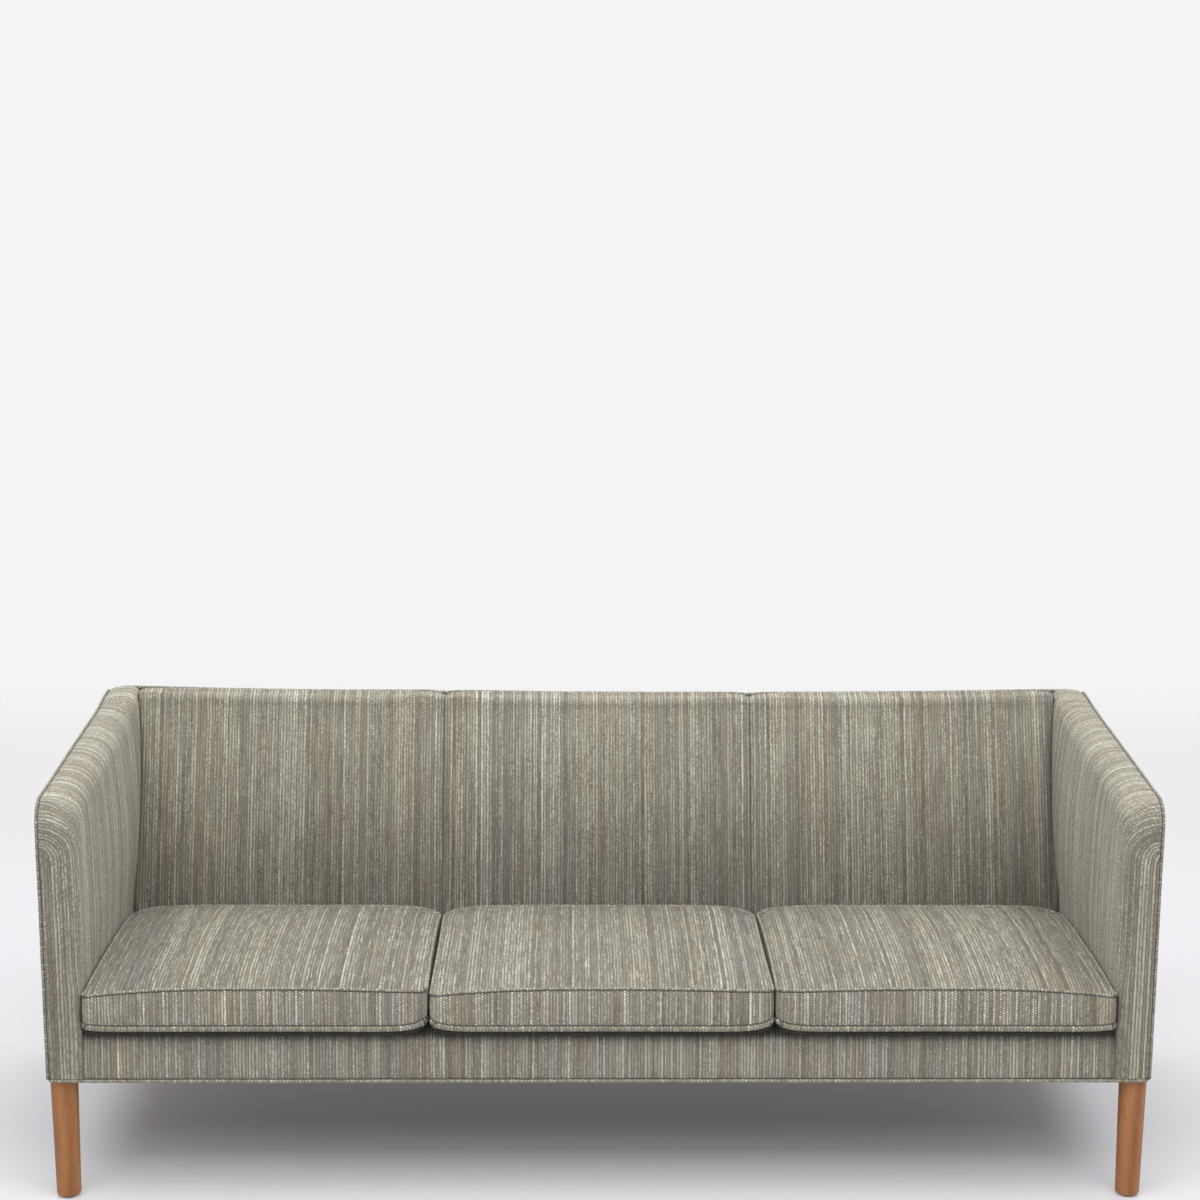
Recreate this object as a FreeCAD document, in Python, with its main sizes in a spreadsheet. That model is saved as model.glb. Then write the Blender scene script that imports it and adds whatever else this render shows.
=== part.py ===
import FreeCAD, Part
import math
import os

import Sketcher

# Three-seater box sofa: beech frame, woven webbing, upholstered arms and back, three loose cushions.
# Millimetres. X runs along the width, the front faces -Y, +Z is up.
# The origin is on the floor, under the middle of the sofa.

DIMENSIONS = [
    ("sofa_width", 2000.0, "over the piping of both arms"),
    ("body_depth", 756.0, "from the front of the arms to the piping at the rear"),
    ("sofa_height", 760.0, "floor to the top of the arms and the back"),
    ("cushion_overhang", 8.0, "seat cushions in front of the arms"),
    ("frame_underside", 234.0, "floor to the underside of the frame"),
    ("piping_diameter", 6.0, "covered cord along the outer edges"),
    ("piping_bend", 14.0, "centre line radius of the piping at corners"),
    ("panel_thickness", 4.0, "outside cover with its backing"),
    ("skirt_lift", 3.5, "lower edge of the covers above the frame's underside"),
    ("leg_top_diameter", 50.0, "round leg under the body"),
    ("leg_foot_diameter", 44.0, "round leg at the floor"),
    ("leg_side_inset", 27.0, "leg centre from the sofa's side"),
    ("leg_end_inset", 30.0, "leg centre from the front and the rear"),
    ("leg_neck_diameter", 36.0, "neck that passes inside the piping"),
    ("leg_spigot_diameter", 24.0, "turned spigot glued into the post"),
    ("leg_spigot_length", 34.0, "height of the spigot above the neck"),
    ("leg_foot_edge", 1.5, "broken edge of the foot"),
    ("glide_diameter", 30.0, "nailed glide under each leg"),
    ("glide_height", 3.0, "glide below the wood"),
    ("post_width", 38.0, "posts and arm rails, across the sofa"),
    ("post_depth", 60.0, "posts, front to back"),
    ("rail_thickness", 28.0, "rails between the posts"),
    ("front_rail_height", 68.0, "front seat rail at its front face"),
    ("rear_rail_height", 70.0, "rear and side seat rails"),
    ("top_rail_height", 30.0, "rails at the top of the arms and the back"),
    ("arm_low_rail_level", 372.0, "underside of the low rail of the arm"),
    ("back_low_rail_level", 335.0, "underside of the low rail of the back"),
    ("seat_beam_depth", 60.0, "flat beam under the rear ends of the webbing"),
    ("stretcher_width", 38.0, "cross members of the seat, at the cushion joints"),
    ("stretcher_height", 22.0, "cross members of the seat"),
    ("batten_width", 20.0, "sloping battens that hold the cross webbing"),
    ("batten_height", 24.0, "sloping battens"),
    ("block_reach", 50.0, "glue blocks along the rails"),
    ("block_height", 50.0, "glue blocks"),
    ("tenon_length", 24.0, "tenons of the rails"),
    ("stub_length", 14.0, "short tenons of the cross members"),
    ("tenon_thickness", 12.0, "all tenons"),
    ("tenon_shoulder", 8.0, "wood left beside a tenon"),
    ("joint_clearance", 0.2, "glue gap round tenons and spigots"),
    ("seat_slope", 4.25, "degrees, fall of the seat towards the back"),
    ("back_depth", 200.0, "the back at the level of the cushions' top, front to rear"),
    ("web_thickness", 2.0, "webbing strap"),
    ("web_width", 50.0, "webbing strap"),
    ("web_bend", 12.0, "length over which a strap passes to the other side"),
    ("deck_thickness", 27.0, "padded deck under the cushions"),
    ("deck_round", 12.0, "front edge of the deck"),
    ("border_round", 8.0, "upper edge of the front border"),
    ("border_seam", 3.0, "width and depth of the middle seam of the border"),
    ("front_padding", 12.0, "padding on the front of the frame"),
    ("top_padding", 22.0, "padding on the top rails"),
    ("arm_thickness", 68.0, "arm at the level of the seat"),
    ("arm_crown", 19.0, "swell of the inner side of the arm near the back"),
    ("arm_crown_least", 2.0, "swell of the inner side at the front"),
    ("arm_crown_foot", 435.0, "level at which the swell begins"),
    ("arm_roll", 48.0, "rounding of the inner upper edge of the arm"),
    ("arm_front_roll", 37.0, "rounding of the inner front edge of the arm"),
    ("arm_corner", 45.0, "rounding of the upper front corner, seen from the side"),
    ("hessian_thickness", 1.5, "stretched cloth under the arm padding"),
    ("pad_gap", 1.0, "gap between neighbouring pads"),
    ("back_top_depth", 46.0, "back over its top rail, front to rear"),
    ("back_roll", 22.0, "rounding of the upper front edge of the back"),
    ("back_crown", 7.0, "swell of the back from top to bottom"),
    ("channel_depth", 7.0, "sewn channels of the back"),
    ("cushion_boxing", 62.0, "sewn height of the cushion at its corners"),
    ("cushion_bow", 15.0, "rise of each side's seam between the corners"),
    ("cushion_crown", 15.0, "rise of the middle of the top over the seams of its sides"),
    ("cushion_draw", 4.0, "how far the sides pull in between the corners"),
    ("cushion_corner", 16.0, "corners of the cushion in plan"),
    ("cushion_cord", 5.0, "piping of the cushions"),
    ("cover_thickness", 2.0, "cushion cover"),
    ("core_gap", 0.6, "gap between cover and foam"),
    ("cushion_gap", 2.0, "between two cushions"),
    ("cushion_side_gap", 2.5, "between a cushion and an arm"),
    ("cushion_back_gap", 2.0, "between the cushions and the back"),
    ("cushion_deck_gap", 0.6, "between the cushions and the deck"),
    ("dust_thickness", 1.5, "cloth under the sofa"),
    ("dust_margin", 4.0, "dust cloth inside the edge of the frame"),
    ("overrun", 40.0, "how far a cut runs past what it cuts"),
]

CUSHIONS = 3
LONG_STRAPS_PER_CUSHION = 5
CROSS_STRAPS = 4
BACK_STRAPS_PER_CUSHION = 4
CORD_FACE_COUNT = 6
BEND_STEP_COUNT = 4
SIDE_STEP_COUNT = 4
CORNER_STEP_COUNT = 4

# Shares of the front rounding and of the arm's length at which the arm's form is shaped.
ARM_NOSE_SHARES = (0.0, 0.03, 0.1, 0.21, 0.36, 0.55, 0.77, 1.0)
ARM_LENGTH_SHARES = (0.15, 0.25, 0.36, 0.48, 0.6, 0.73, 1.0)
# Shares of the full swell at those places along the arm.
ARM_CROWN_SHARES = (0.2, 0.42, 0.63, 0.81, 0.94, 1.0, 1.0)
# Places across one bay of the back, from its channel to its middle, and how deep the cover lies there.
BAY_PLACE_SHARES = (0.0, 0.015, 0.06, 0.2, 0.5, 1.0)
BAY_DEPTH_SHARES = (1.0, 0.65, 0.33, 0.19, 0.08, 0.0)
# Places from the front to the back of a cushion at which its crown is shaped.
CUSHION_LENGTH_SHARES = (0.0, 0.2, 0.4, 0.6, 0.8, 1.0)

doc = FreeCAD.newDocument("three_seater_sofa")
sheet = doc.addObject("Spreadsheet::Sheet", "dims")
for row, (alias, amount, meaning) in enumerate(DIMENSIONS, start=1):
    sheet.set("A%d" % row, alias)
    sheet.set("B%d" % row, str(amount))
    sheet.set("C%d" % row, meaning)
    sheet.setAlias("B%d" % row, alias)
doc.recompute()


def size(expression):
    """The number that an expression on the sheet gives."""
    return float(sheet.evalExpression(expression))


# Planes of the sofa, as expressions on the sheet.
SIDE = "dims.sofa_width / 2"
FRONT = "(dims.cushion_overhang - dims.body_depth) / 2"
REAR = "(dims.cushion_overhang + dims.body_depth) / 2"
TOP = "dims.sofa_height"
SKIRT = "(dims.frame_underside + dims.skirt_lift)"
FRAME_SIDE = "(%s - dims.piping_diameter)" % SIDE
FRAME_FRONT = "(%s + dims.front_padding)" % FRONT
FRAME_REAR = "(%s - dims.piping_diameter)" % REAR
FRAME_LOW = "dims.frame_underside"
FRAME_TOP = "(dims.sofa_height - dims.top_padding)"
POST_INNER = "(%s - dims.post_width)" % FRAME_SIDE
FRONT_POST_BACK = "(%s + dims.post_depth)" % FRAME_FRONT
REAR_POST_FACE = "(%s - dims.post_depth)" % FRAME_REAR
RAIL_LOW = "(%s - dims.top_rail_height)" % FRAME_TOP
FRONT_RAIL_BACK = "(%s + dims.rail_thickness)" % FRAME_FRONT
REAR_RAIL_FACE = "(%s - dims.rail_thickness)" % FRAME_REAR
SIDE_RAIL_INNER = "(%s - dims.rail_thickness)" % FRAME_SIDE
ARM_INNER = "(%s - dims.arm_thickness)" % SIDE
WEB_FRONT = "(dims.frame_underside + dims.front_rail_height)"
DECK_LOW = "(%s + 2 * dims.web_thickness / cos(dims.seat_slope * 1 deg))" % WEB_FRONT
DECK_FRONT = "(%s + dims.deck_thickness)" % DECK_LOW
SEAT_REAR = "(%s - dims.back_depth)" % REAR
BEAM_FRONT = "(%s + dims.tenon_shoulder)" % SEAT_REAR
BEAM_REAR = "(%s + dims.seat_beam_depth)" % BEAM_FRONT
SLOPE_RISE = "tan(dims.seat_slope * 1 deg)"
JOINT_LOW = "(dims.frame_underside + dims.leg_spigot_length + dims.tenon_shoulder / 2)"
CUSHION_PITCH = (
    "((2 * %s - 2 * dims.cushion_side_gap + dims.cushion_gap) / %d)" % (ARM_INNER, CUSHIONS)
)
CHANNEL = "(%s / 2)" % CUSHION_PITCH


def plus(base, *more):
    """An expression with lengths added to it."""
    return "(" + " + ".join((base,) + more) + ")"


def less(base, *more):
    """An expression with lengths taken off it."""
    return "(" + " - ".join((base,) + more) + ")"


def block(name, x_span, y_span, z_span, grow=None):
    """A box between three pairs of expressions, larger all round by grow."""
    box = doc.addObject("Part::Box", name)
    for low_name, length_name, (low, high) in (
        ("x", "Length", x_span),
        ("y", "Width", y_span),
        ("z", "Height", z_span),
    ):
        if grow:
            low = less(low, grow)
            high = plus(high, grow)
        box.setExpression("Placement.Base." + low_name, low)
        box.setExpression(length_name, "%s - %s" % (high, low))
    return box


def cylinder(name, x, y, low, diameter, height):
    """An upright cylinder bound to the sheet."""
    round_piece = doc.addObject("Part::Cylinder", name)
    round_piece.setExpression("Radius", "(%s) / 2" % diameter)
    round_piece.setExpression("Height", height)
    round_piece.setExpression("Placement.Base.x", x)
    round_piece.setExpression("Placement.Base.y", y)
    round_piece.setExpression("Placement.Base.z", low)
    return round_piece


def sloped_block(name, x_span, y_front, z_front, length, height):
    """A box that falls towards the back with the seat, from its lower front edge."""
    box = doc.addObject("Part::Box", name)
    box.setExpression("Length", "%s - %s" % (x_span[1], x_span[0]))
    box.setExpression("Width", length)
    box.setExpression("Height", height)
    box.setExpression("Placement.Base.x", x_span[0])
    box.setExpression("Placement.Base.y", y_front)
    box.setExpression("Placement.Base.z", z_front)
    box.setExpression("Placement.Rotation.Axis.x", "1")
    box.setExpression("Placement.Rotation.Axis.z", "0")
    box.setExpression("Placement.Rotation.Angle", "-dims.seat_slope")
    return box


def joined(name, *pieces):
    """Pieces that are one piece of wood or foam."""
    fuse = doc.addObject("Part::MultiFuse", name)
    fuse.Shapes = list(pieces)
    fuse.Refine = True
    return fuse


def carved(name, base, *tools):
    """A piece with other solids cut out of it, one after another."""
    for number, tool in enumerate(tools, start=1):
        last = number == len(tools)
        cut = doc.addObject("Part::Cut", name if last else "%s_step_%d" % (name, number))
        cut.Base = base
        cut.Tool = tool
        base = cut
    return base


def mirrored(name, source):
    """The same piece on the other side of the sofa."""
    mirror = doc.addObject("Part::Mirroring", name)
    mirror.Source = source
    mirror.Normal = (1, 0, 0)
    mirror.Base = (0, 0, 0)
    return mirror


def group(name, pieces):
    """Identical pieces that share a node."""
    compound = doc.addObject("Part::Compound", name)
    compound.Links = list(pieces)
    return compound


def solid(name, shape):
    """A form shaped by lofts or sweeps."""
    feature = doc.addObject("Part::Feature", name)
    feature.Shape = shape
    return feature


def near_edge(shape, point):
    """The name of the edge whose middle lies nearest to a point."""
    place = FreeCAD.Vector(*point)
    distances = [edge.CenterOfMass.distanceToPoint(place) for edge in shape.Edges]
    return distances.index(min(distances)) + 1


def rounded(name, base, point, radius):
    """A piece with one edge rounded, the edge nearest to a point."""
    doc.recompute()
    number = near_edge(base.Shape, point)
    fillet = doc.addObject("Part::Fillet", name)
    fillet.Base = base
    fillet.Edges = [(number, size(radius), size(radius))]
    return fillet


def closed_wire(edges):
    return Part.Wire(Part.__sortEdges__(edges))


def line(start, end):
    return Part.makeLine(FreeCAD.Vector(*start), FreeCAD.Vector(*end))


def arc(start, middle, end):
    return Part.Arc(FreeCAD.Vector(*start), FreeCAD.Vector(*middle), FreeCAD.Vector(*end)).toShape()


def web_level(y):
    """Underside of the seat webbing at a place front to back."""
    return size(WEB_FRONT) - (y - size(FRAME_FRONT)) * math.tan(math.radians(size("dims.seat_slope")))


def deck_level(y):
    """Top of the padded deck at a place front to back."""
    slope = math.radians(size("dims.seat_slope"))
    return web_level(y) + size("2 * dims.web_thickness + dims.deck_thickness") / math.cos(slope)


nodes = []


def keep(piece):
    """Marks an object as a finished piece of the sofa."""
    nodes.append(piece)
    return piece


# Space above the webbing, which bevels the rails under it.
above_web = sloped_block(
    "above_web",
    ("-" + SIDE, SIDE),
    FRAME_FRONT,
    WEB_FRONT,
    "dims.body_depth",
    "dims.sofa_height",
)

# Tenons and the mortises that take them.


def tenon_pair(name, x_span, y_span, z_span):
    """A tenon, and the larger space that is cut for it."""
    tenon = block(name + "_tenon", x_span, y_span, z_span)
    mortise = block(name + "_mortise", x_span, y_span, z_span, "dims.joint_clearance")
    return tenon, mortise


def middle_span(low, high):
    """The middle third of a timber, as thick as a tenon."""
    return (
        "((%s + %s - dims.tenon_thickness) / 2)" % (low, high),
        "((%s + %s + dims.tenon_thickness) / 2)" % (low, high),
    )


FRONT_RAIL_Y = (FRAME_FRONT, FRONT_RAIL_BACK)
REAR_RAIL_Y = (REAR_RAIL_FACE, FRAME_REAR)
BACK_LOW_Y = (less(REAR_RAIL_FACE, "dims.rail_thickness"), REAR_RAIL_FACE)
FRONT_POST_Y = (FRAME_FRONT, FRONT_POST_BACK)
REAR_POST_Y = (REAR_POST_FACE, FRAME_REAR)
POST_X = (POST_INNER, FRAME_SIDE)
SIDE_RAIL_X = (SIDE_RAIL_INNER, FRAME_SIDE)
SEAT_JOINT_Z = (JOINT_LOW, less(WEB_FRONT, "dims.tenon_shoulder"))
REAR_JOINT_Z = (JOINT_LOW, "(dims.frame_underside + dims.rear_rail_height - dims.tenon_shoulder)")
TOP_RAIL_Z = (RAIL_LOW, FRAME_TOP)
TOP_JOINT_Z = (plus(RAIL_LOW, "dims.tenon_shoulder"), less(FRAME_TOP, "dims.tenon_shoulder"))
ARM_LOW_Z = ("dims.arm_low_rail_level", "(dims.arm_low_rail_level + dims.top_rail_height)")
BACK_LOW_Z = ("dims.back_low_rail_level", "(dims.back_low_rail_level + dims.top_rail_height)")
END_TENON_X = (POST_INNER, plus(POST_INNER, "dims.tenon_length"))
OTHER_END_TENON_X = ("-" + END_TENON_X[1], "-" + POST_INNER)


def shouldered(z_span):
    return plus(z_span[0], "dims.tenon_shoulder"), less(z_span[1], "dims.tenon_shoulder")


def cross_rail(name, y_span, z_span, joint_z, *cuts):
    """A rail across the sofa with a tenon at each end, and the mortise for its right end."""
    bar = block(name + "_bar", ("-" + POST_INNER, POST_INNER), y_span, z_span)
    tenon, mortise = tenon_pair(name + "_right", END_TENON_X, middle_span(*y_span), joint_z)
    other = block(name + "_left_tenon", OTHER_END_TENON_X, middle_span(*y_span), joint_z)
    if not cuts:
        return joined(name, bar, tenon, other), mortise
    return carved(name, joined(name + "_whole", bar, tenon, other), *cuts), mortise


# Uprights of the back and cross members of the seat stand at the joints between the cushions.
MEMBER_X = (
    less(CHANNEL, "dims.stretcher_width / 2"),
    plus(CHANNEL, "dims.stretcher_width / 2"),
)
STRETCHER_Z = (FRAME_LOW, plus(FRAME_LOW, "dims.stretcher_height"))
STRETCHER_JOINT_Z = (
    plus(FRAME_LOW, "dims.stretcher_height / 4"),
    plus(FRAME_LOW, "dims.stretcher_height * 3 / 4"),
)
UPRIGHT_Z = ("(dims.frame_underside + dims.rear_rail_height)", RAIL_LOW)

stretcher_bar = block("stretcher_bar", MEMBER_X, (FRONT_RAIL_BACK, BEAM_FRONT), STRETCHER_Z)
stretcher_front, stretcher_front_cut = tenon_pair(
    "stretcher_front",
    middle_span(*MEMBER_X),
    (less(FRONT_RAIL_BACK, "dims.stub_length"), FRONT_RAIL_BACK),
    STRETCHER_JOINT_Z,
)
stretcher_rear, stretcher_rear_cut = tenon_pair(
    "stretcher_rear",
    middle_span(*MEMBER_X),
    (BEAM_FRONT, plus(BEAM_FRONT, "dims.stub_length")),
    STRETCHER_JOINT_Z,
)
right_stretcher = joined("right_seat_stretcher", stretcher_bar, stretcher_front, stretcher_rear)

upright_bar = block("upright_bar", MEMBER_X, REAR_RAIL_Y, UPRIGHT_Z)
upright_foot, upright_foot_cut = tenon_pair(
    "upright_foot",
    shouldered(MEMBER_X),
    middle_span(*REAR_RAIL_Y),
    (less(UPRIGHT_Z[0], "dims.stub_length"), UPRIGHT_Z[0]),
)
upright_head, upright_head_cut = tenon_pair(
    "upright_head",
    shouldered(MEMBER_X),
    middle_span(*REAR_RAIL_Y),
    (UPRIGHT_Z[1], plus(UPRIGHT_Z[1], "dims.stub_length")),
)
right_upright = joined("right_back_upright", upright_bar, upright_foot, upright_head)

# Rails across the sofa.
front_rail, front_rail_cut = cross_rail(
    "front_rail",
    FRONT_RAIL_Y,
    (FRAME_LOW, WEB_FRONT),
    SEAT_JOINT_Z,
    above_web,
    stretcher_front_cut,
    mirrored("stretcher_front_cut_left", stretcher_front_cut),
)
rear_rail, rear_rail_cut = cross_rail(
    "rear_rail",
    REAR_RAIL_Y,
    (FRAME_LOW, UPRIGHT_Z[0]),
    REAR_JOINT_Z,
    upright_foot_cut,
    mirrored("upright_foot_cut_left", upright_foot_cut),
)
back_top_rail, back_top_cut = cross_rail(
    "back_top_rail",
    REAR_RAIL_Y,
    TOP_RAIL_Z,
    TOP_JOINT_Z,
    upright_head_cut,
    mirrored("upright_head_cut_left", upright_head_cut),
)
# Space in front of the leaning straps of the back, which bevels the low rail under them.
BACK_LEAN = "atan((%s - %s) / (%s - %s))" % (REAR_RAIL_FACE, BACK_LOW_Y[0], FRAME_TOP, BACK_LOW_Z[0])
before_straps_y = less(BACK_LOW_Y[0], "dims.overrun * cos(%s)" % BACK_LEAN)
before_straps_z = plus(BACK_LOW_Z[0], "dims.overrun * sin(%s)" % BACK_LEAN)
before_straps = block(
    "before_straps",
    ("-" + SIDE, SIDE),
    (before_straps_y, plus(before_straps_y, "dims.overrun")),
    (before_straps_z, plus(before_straps_z, "dims.overrun")),
)
before_straps.setExpression("Placement.Rotation.Axis.x", "1")
before_straps.setExpression("Placement.Rotation.Axis.z", "0")
before_straps.setExpression("Placement.Rotation.Angle", "-" + BACK_LEAN)
back_low_rail, back_low_cut = cross_rail(
    "back_low_rail", BACK_LOW_Y, BACK_LOW_Z, shouldered(BACK_LOW_Z), before_straps
)
for rail in (front_rail, rear_rail, back_top_rail, back_low_rail):
    keep(rail)

# The flat beam that carries the rear ends of the webbing, let into the side rails.
beam_bar = block(
    "beam_bar",
    ("-" + SIDE_RAIL_INNER, SIDE_RAIL_INNER),
    (BEAM_FRONT, BEAM_REAR),
    (FRAME_LOW, WEB_FRONT),
)
beam_tenon, beam_cut = tenon_pair(
    "beam",
    (SIDE_RAIL_INNER, plus(SIDE_RAIL_INNER, "dims.stub_length")),
    shouldered((BEAM_FRONT, BEAM_REAR)),
    STRETCHER_JOINT_Z,
)
seat_beam = carved(
    "seat_beam",
    joined("beam_whole", beam_bar, beam_tenon, mirrored("beam_tenon_left", beam_tenon)),
    above_web,
    stretcher_rear_cut,
    mirrored("stretcher_rear_cut_left", stretcher_rear_cut),
)
keep(seat_beam)


def side_rail(name, x_span, z_span, joint_z):
    """A rail between the posts of one arm, with the mortises for both its ends."""
    bar = block(name + "_bar", x_span, (FRONT_POST_BACK, REAR_POST_FACE), z_span)
    front_y = (less(FRONT_POST_BACK, "dims.tenon_length"), FRONT_POST_BACK)
    rear_y = (REAR_POST_FACE, plus(REAR_POST_FACE, "dims.tenon_length"))
    front, front_cut = tenon_pair(name + "_front", middle_span(*x_span), front_y, joint_z)
    rear, rear_cut = tenon_pair(name + "_rear", middle_span(*x_span), rear_y, joint_z)
    return bar, front, rear, front_cut, rear_cut


rail_parts = side_rail("side_rail", SIDE_RAIL_X, (FRAME_LOW, UPRIGHT_Z[0]), REAR_JOINT_Z)
side_front_cut, side_rear_cut = rail_parts[3:]
right_side_rail = carved("right_side_rail", joined("side_rail_whole", *rail_parts[:3]), beam_cut)
low_parts = side_rail("arm_low_rail", POST_X, ARM_LOW_Z, shouldered(ARM_LOW_Z))
arm_front_cut, arm_rear_cut = low_parts[3:]
right_arm_low_rail = joined("right_arm_low_rail", *low_parts[:3])

# Legs, turned in one piece with the spigot that goes into the post.
LEG_X = "(%s - dims.leg_side_inset)" % SIDE
FRONT_LEG_Y = "(%s + dims.leg_end_inset)" % FRONT
REAR_LEG_Y = "(%s - dims.leg_end_inset)" % REAR
LEG_SHOULDER = "(%s - dims.piping_diameter)" % SKIRT


def origin_plane(body, role):
    return [plane for plane in body.Origin.OriginFeatures if plane.Role == role][0]


def bound_outline(sketch, points):
    """A closed outline of straight lines whose corners are bound to the sheet."""
    places = [FreeCAD.Vector(size(x), size(y), 0) for x, y in points]
    count = len(places)
    for index in range(count):
        sketch.addGeometry(Part.LineSegment(places[index], places[(index + 1) % count]), False)
    for index in range(count):
        sketch.addConstraint(Sketcher.Constraint("Coincident", index, 2, (index + 1) % count, 1))
    for index, (x, y) in enumerate(points):
        for axis, expression in (("X", x), ("Y", y)):
            datum = size(expression)
            number = sketch.addConstraint(
                Sketcher.Constraint("Distance" + axis, -1, 1, index, 1, datum)
            )
            sketch.setExpression("Constraints[%d]" % number, expression)


def leg(name, x, y):
    body = doc.addObject("PartDesign::Body", name)
    sketch = body.newObject("Sketcher::SketchObject", name + "_outline")
    sketch.AttachmentSupport = [(origin_plane(body, "XZ_Plane"), "")]
    sketch.MapMode = "FlatFace"
    spigot_top = plus(FRAME_LOW, "dims.leg_spigot_length")
    outline = [
        ("0", "dims.glide_height"),
        ("dims.leg_foot_diameter / 2", "dims.glide_height"),
        ("dims.leg_top_diameter / 2", LEG_SHOULDER),
        ("dims.leg_neck_diameter / 2", LEG_SHOULDER),
        ("dims.leg_neck_diameter / 2", FRAME_LOW),
        ("dims.leg_spigot_diameter / 2", FRAME_LOW),
        ("dims.leg_spigot_diameter / 2", spigot_top),
        ("0", spigot_top),
    ]
    bound_outline(sketch, outline)
    turned = body.newObject("PartDesign::Revolution", name + "_turned")
    turned.Profile = sketch
    turned.ReferenceAxis = (sketch, ["V_Axis"])
    doc.recompute()
    foot = [
        number
        for number, edge in enumerate(turned.Shape.Edges, start=1)
        if abs(edge.CenterOfMass.z - size("dims.glide_height")) < size("dims.joint_clearance")
        and edge.Curve.TypeId == "Part::GeomCircle"
    ]
    foot_edge = body.newObject("PartDesign::Chamfer", name + "_foot")
    foot_edge.Base = (turned, ["Edge%d" % foot[0]])
    foot_edge.setExpression("Size", "dims.leg_foot_edge")
    body.setExpression("Placement.Base.x", x)
    body.setExpression("Placement.Base.y", y)
    return body


glides = []
for end_name, leg_y in (("front", FRONT_LEG_Y), ("rear", REAR_LEG_Y)):
    pair = []
    for side_name, sign in (("left", "-"), ("right", "")):
        pair.append(leg("%s_%s_leg" % (side_name, end_name), sign + LEG_X, leg_y))
        glide = cylinder(
            "glide_%s_%s" % (side_name, end_name),
            sign + LEG_X,
            leg_y,
            "0",
            "dims.glide_diameter",
            "dims.glide_height",
        )
        glides.append(glide)
    keep(group(end_name + "_legs", pair))
keep(group("leg_glides", glides))


def socket(name, y):
    """The hole in a post that takes a leg's spigot."""
    return cylinder(
        name,
        LEG_X,
        y,
        FRAME_LOW,
        "dims.leg_spigot_diameter + 2 * dims.joint_clearance",
        "dims.leg_spigot_length + dims.joint_clearance",
    )


# Posts and the top rails of the arms.
def post(name, y_span, outer_y, leg_y, *cuts):
    """A post with its outer edge eased inside the piping, its head tenon, its leg socket and its mortises."""
    bar = block(name + "_bar", POST_X, y_span, (FRAME_LOW, RAIL_LOW))
    outer_edge = (size(FRAME_SIDE), size(outer_y), size("(%s + %s) / 2" % (FRAME_LOW, RAIL_LOW)))
    shaft = rounded(name + "_shaft", bar, outer_edge, "dims.piping_bend")
    head_y = (
        plus(y_span[0], "dims.tenon_shoulder"),
        plus(y_span[0], "dims.tenon_shoulder", "dims.tenon_length"),
    )
    head_z = (RAIL_LOW, less(FRAME_TOP, "dims.tenon_shoulder"))
    head, head_cut = tenon_pair(name + "_head", middle_span(*POST_X), head_y, head_z)
    whole = joined(name + "_whole", shaft, head)
    return carved(name, whole, socket(name + "_socket", leg_y), *cuts), head_cut


right_front_post, front_head_cut = post(
    "right_front_post",
    FRONT_POST_Y,
    FRAME_FRONT,
    FRONT_LEG_Y,
    front_rail_cut,
    side_front_cut,
    arm_front_cut,
)
right_rear_post, rear_head_cut = post(
    "right_rear_post",
    REAR_POST_Y,
    FRAME_REAR,
    REAR_LEG_Y,
    rear_rail_cut,
    side_rear_cut,
    back_low_cut,
    arm_rear_cut,
)
right_arm_top_rail = carved(
    "right_arm_top_rail",
    block("arm_top_bar", POST_X, (FRAME_FRONT, FRAME_REAR), TOP_RAIL_Z),
    front_head_cut,
    rear_head_cut,
    back_top_cut,
)

# Battens along the side rails, which follow the fall of the webbing.
BATTEN_LOW = "%s - (%s - %s) * %s - dims.batten_height / cos(dims.seat_slope * 1 deg)" % (
    WEB_FRONT,
    FRONT_POST_BACK,
    FRAME_FRONT,
    SLOPE_RISE,
)
right_batten = sloped_block(
    "right_webbing_batten",
    (less(SIDE_RAIL_INNER, "dims.batten_width"), SIDE_RAIL_INNER),
    FRONT_POST_BACK,
    BATTEN_LOW,
    "%s - %s" % (BEAM_FRONT, plus(FRONT_POST_BACK, "dims.tenon_shoulder")),
    "dims.batten_height",
)

# Glue blocks in the corners between the cross rails and the posts.


def glue_block(name, rail_face, post_face):
    """A three-cornered block, from a rail's face out to the end of the post."""
    body = doc.addObject("PartDesign::Body", name)
    sketch = body.newObject("Sketcher::SketchObject", name + "_outline")
    sketch.AttachmentSupport = [(origin_plane(body, "XY_Plane"), "")]
    sketch.MapMode = "FlatFace"
    bound_outline(
        sketch,
        [
            (POST_INNER, rail_face),
            (less(POST_INNER, "dims.block_reach"), rail_face),
            (POST_INNER, post_face),
        ],
    )
    pad = body.newObject("PartDesign::Pad", name + "_pad")
    pad.Profile = sketch
    pad.setExpression("Length", "dims.block_height")
    body.setExpression("Placement.Base.z", FRAME_LOW)
    return body


front_block = glue_block("front_block", FRONT_RAIL_BACK, FRONT_POST_BACK)
rear_block = glue_block("rear_block", REAR_RAIL_FACE, REAR_POST_FACE)
keep(
    group(
        "corner_blocks",
        (
            front_block,
            rear_block,
            mirrored("front_block_left", front_block),
            mirrored("rear_block_left", rear_block),
        ),
    )
)

# Stretched cloth on the inner side of each arm's frame, above the deck.
HESSIAN_INNER = less(POST_INNER, "dims.hessian_thickness")
right_arm_hessian = block(
    "right_arm_hessian",
    (HESSIAN_INNER, POST_INNER),
    (FRAME_FRONT, REAR_POST_FACE),
    (plus(WEB_FRONT, "dims.deck_thickness"), FRAME_TOP),
)

# Woven webbing. A strap is a ribbon that passes over and under the straps it crosses.


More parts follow.
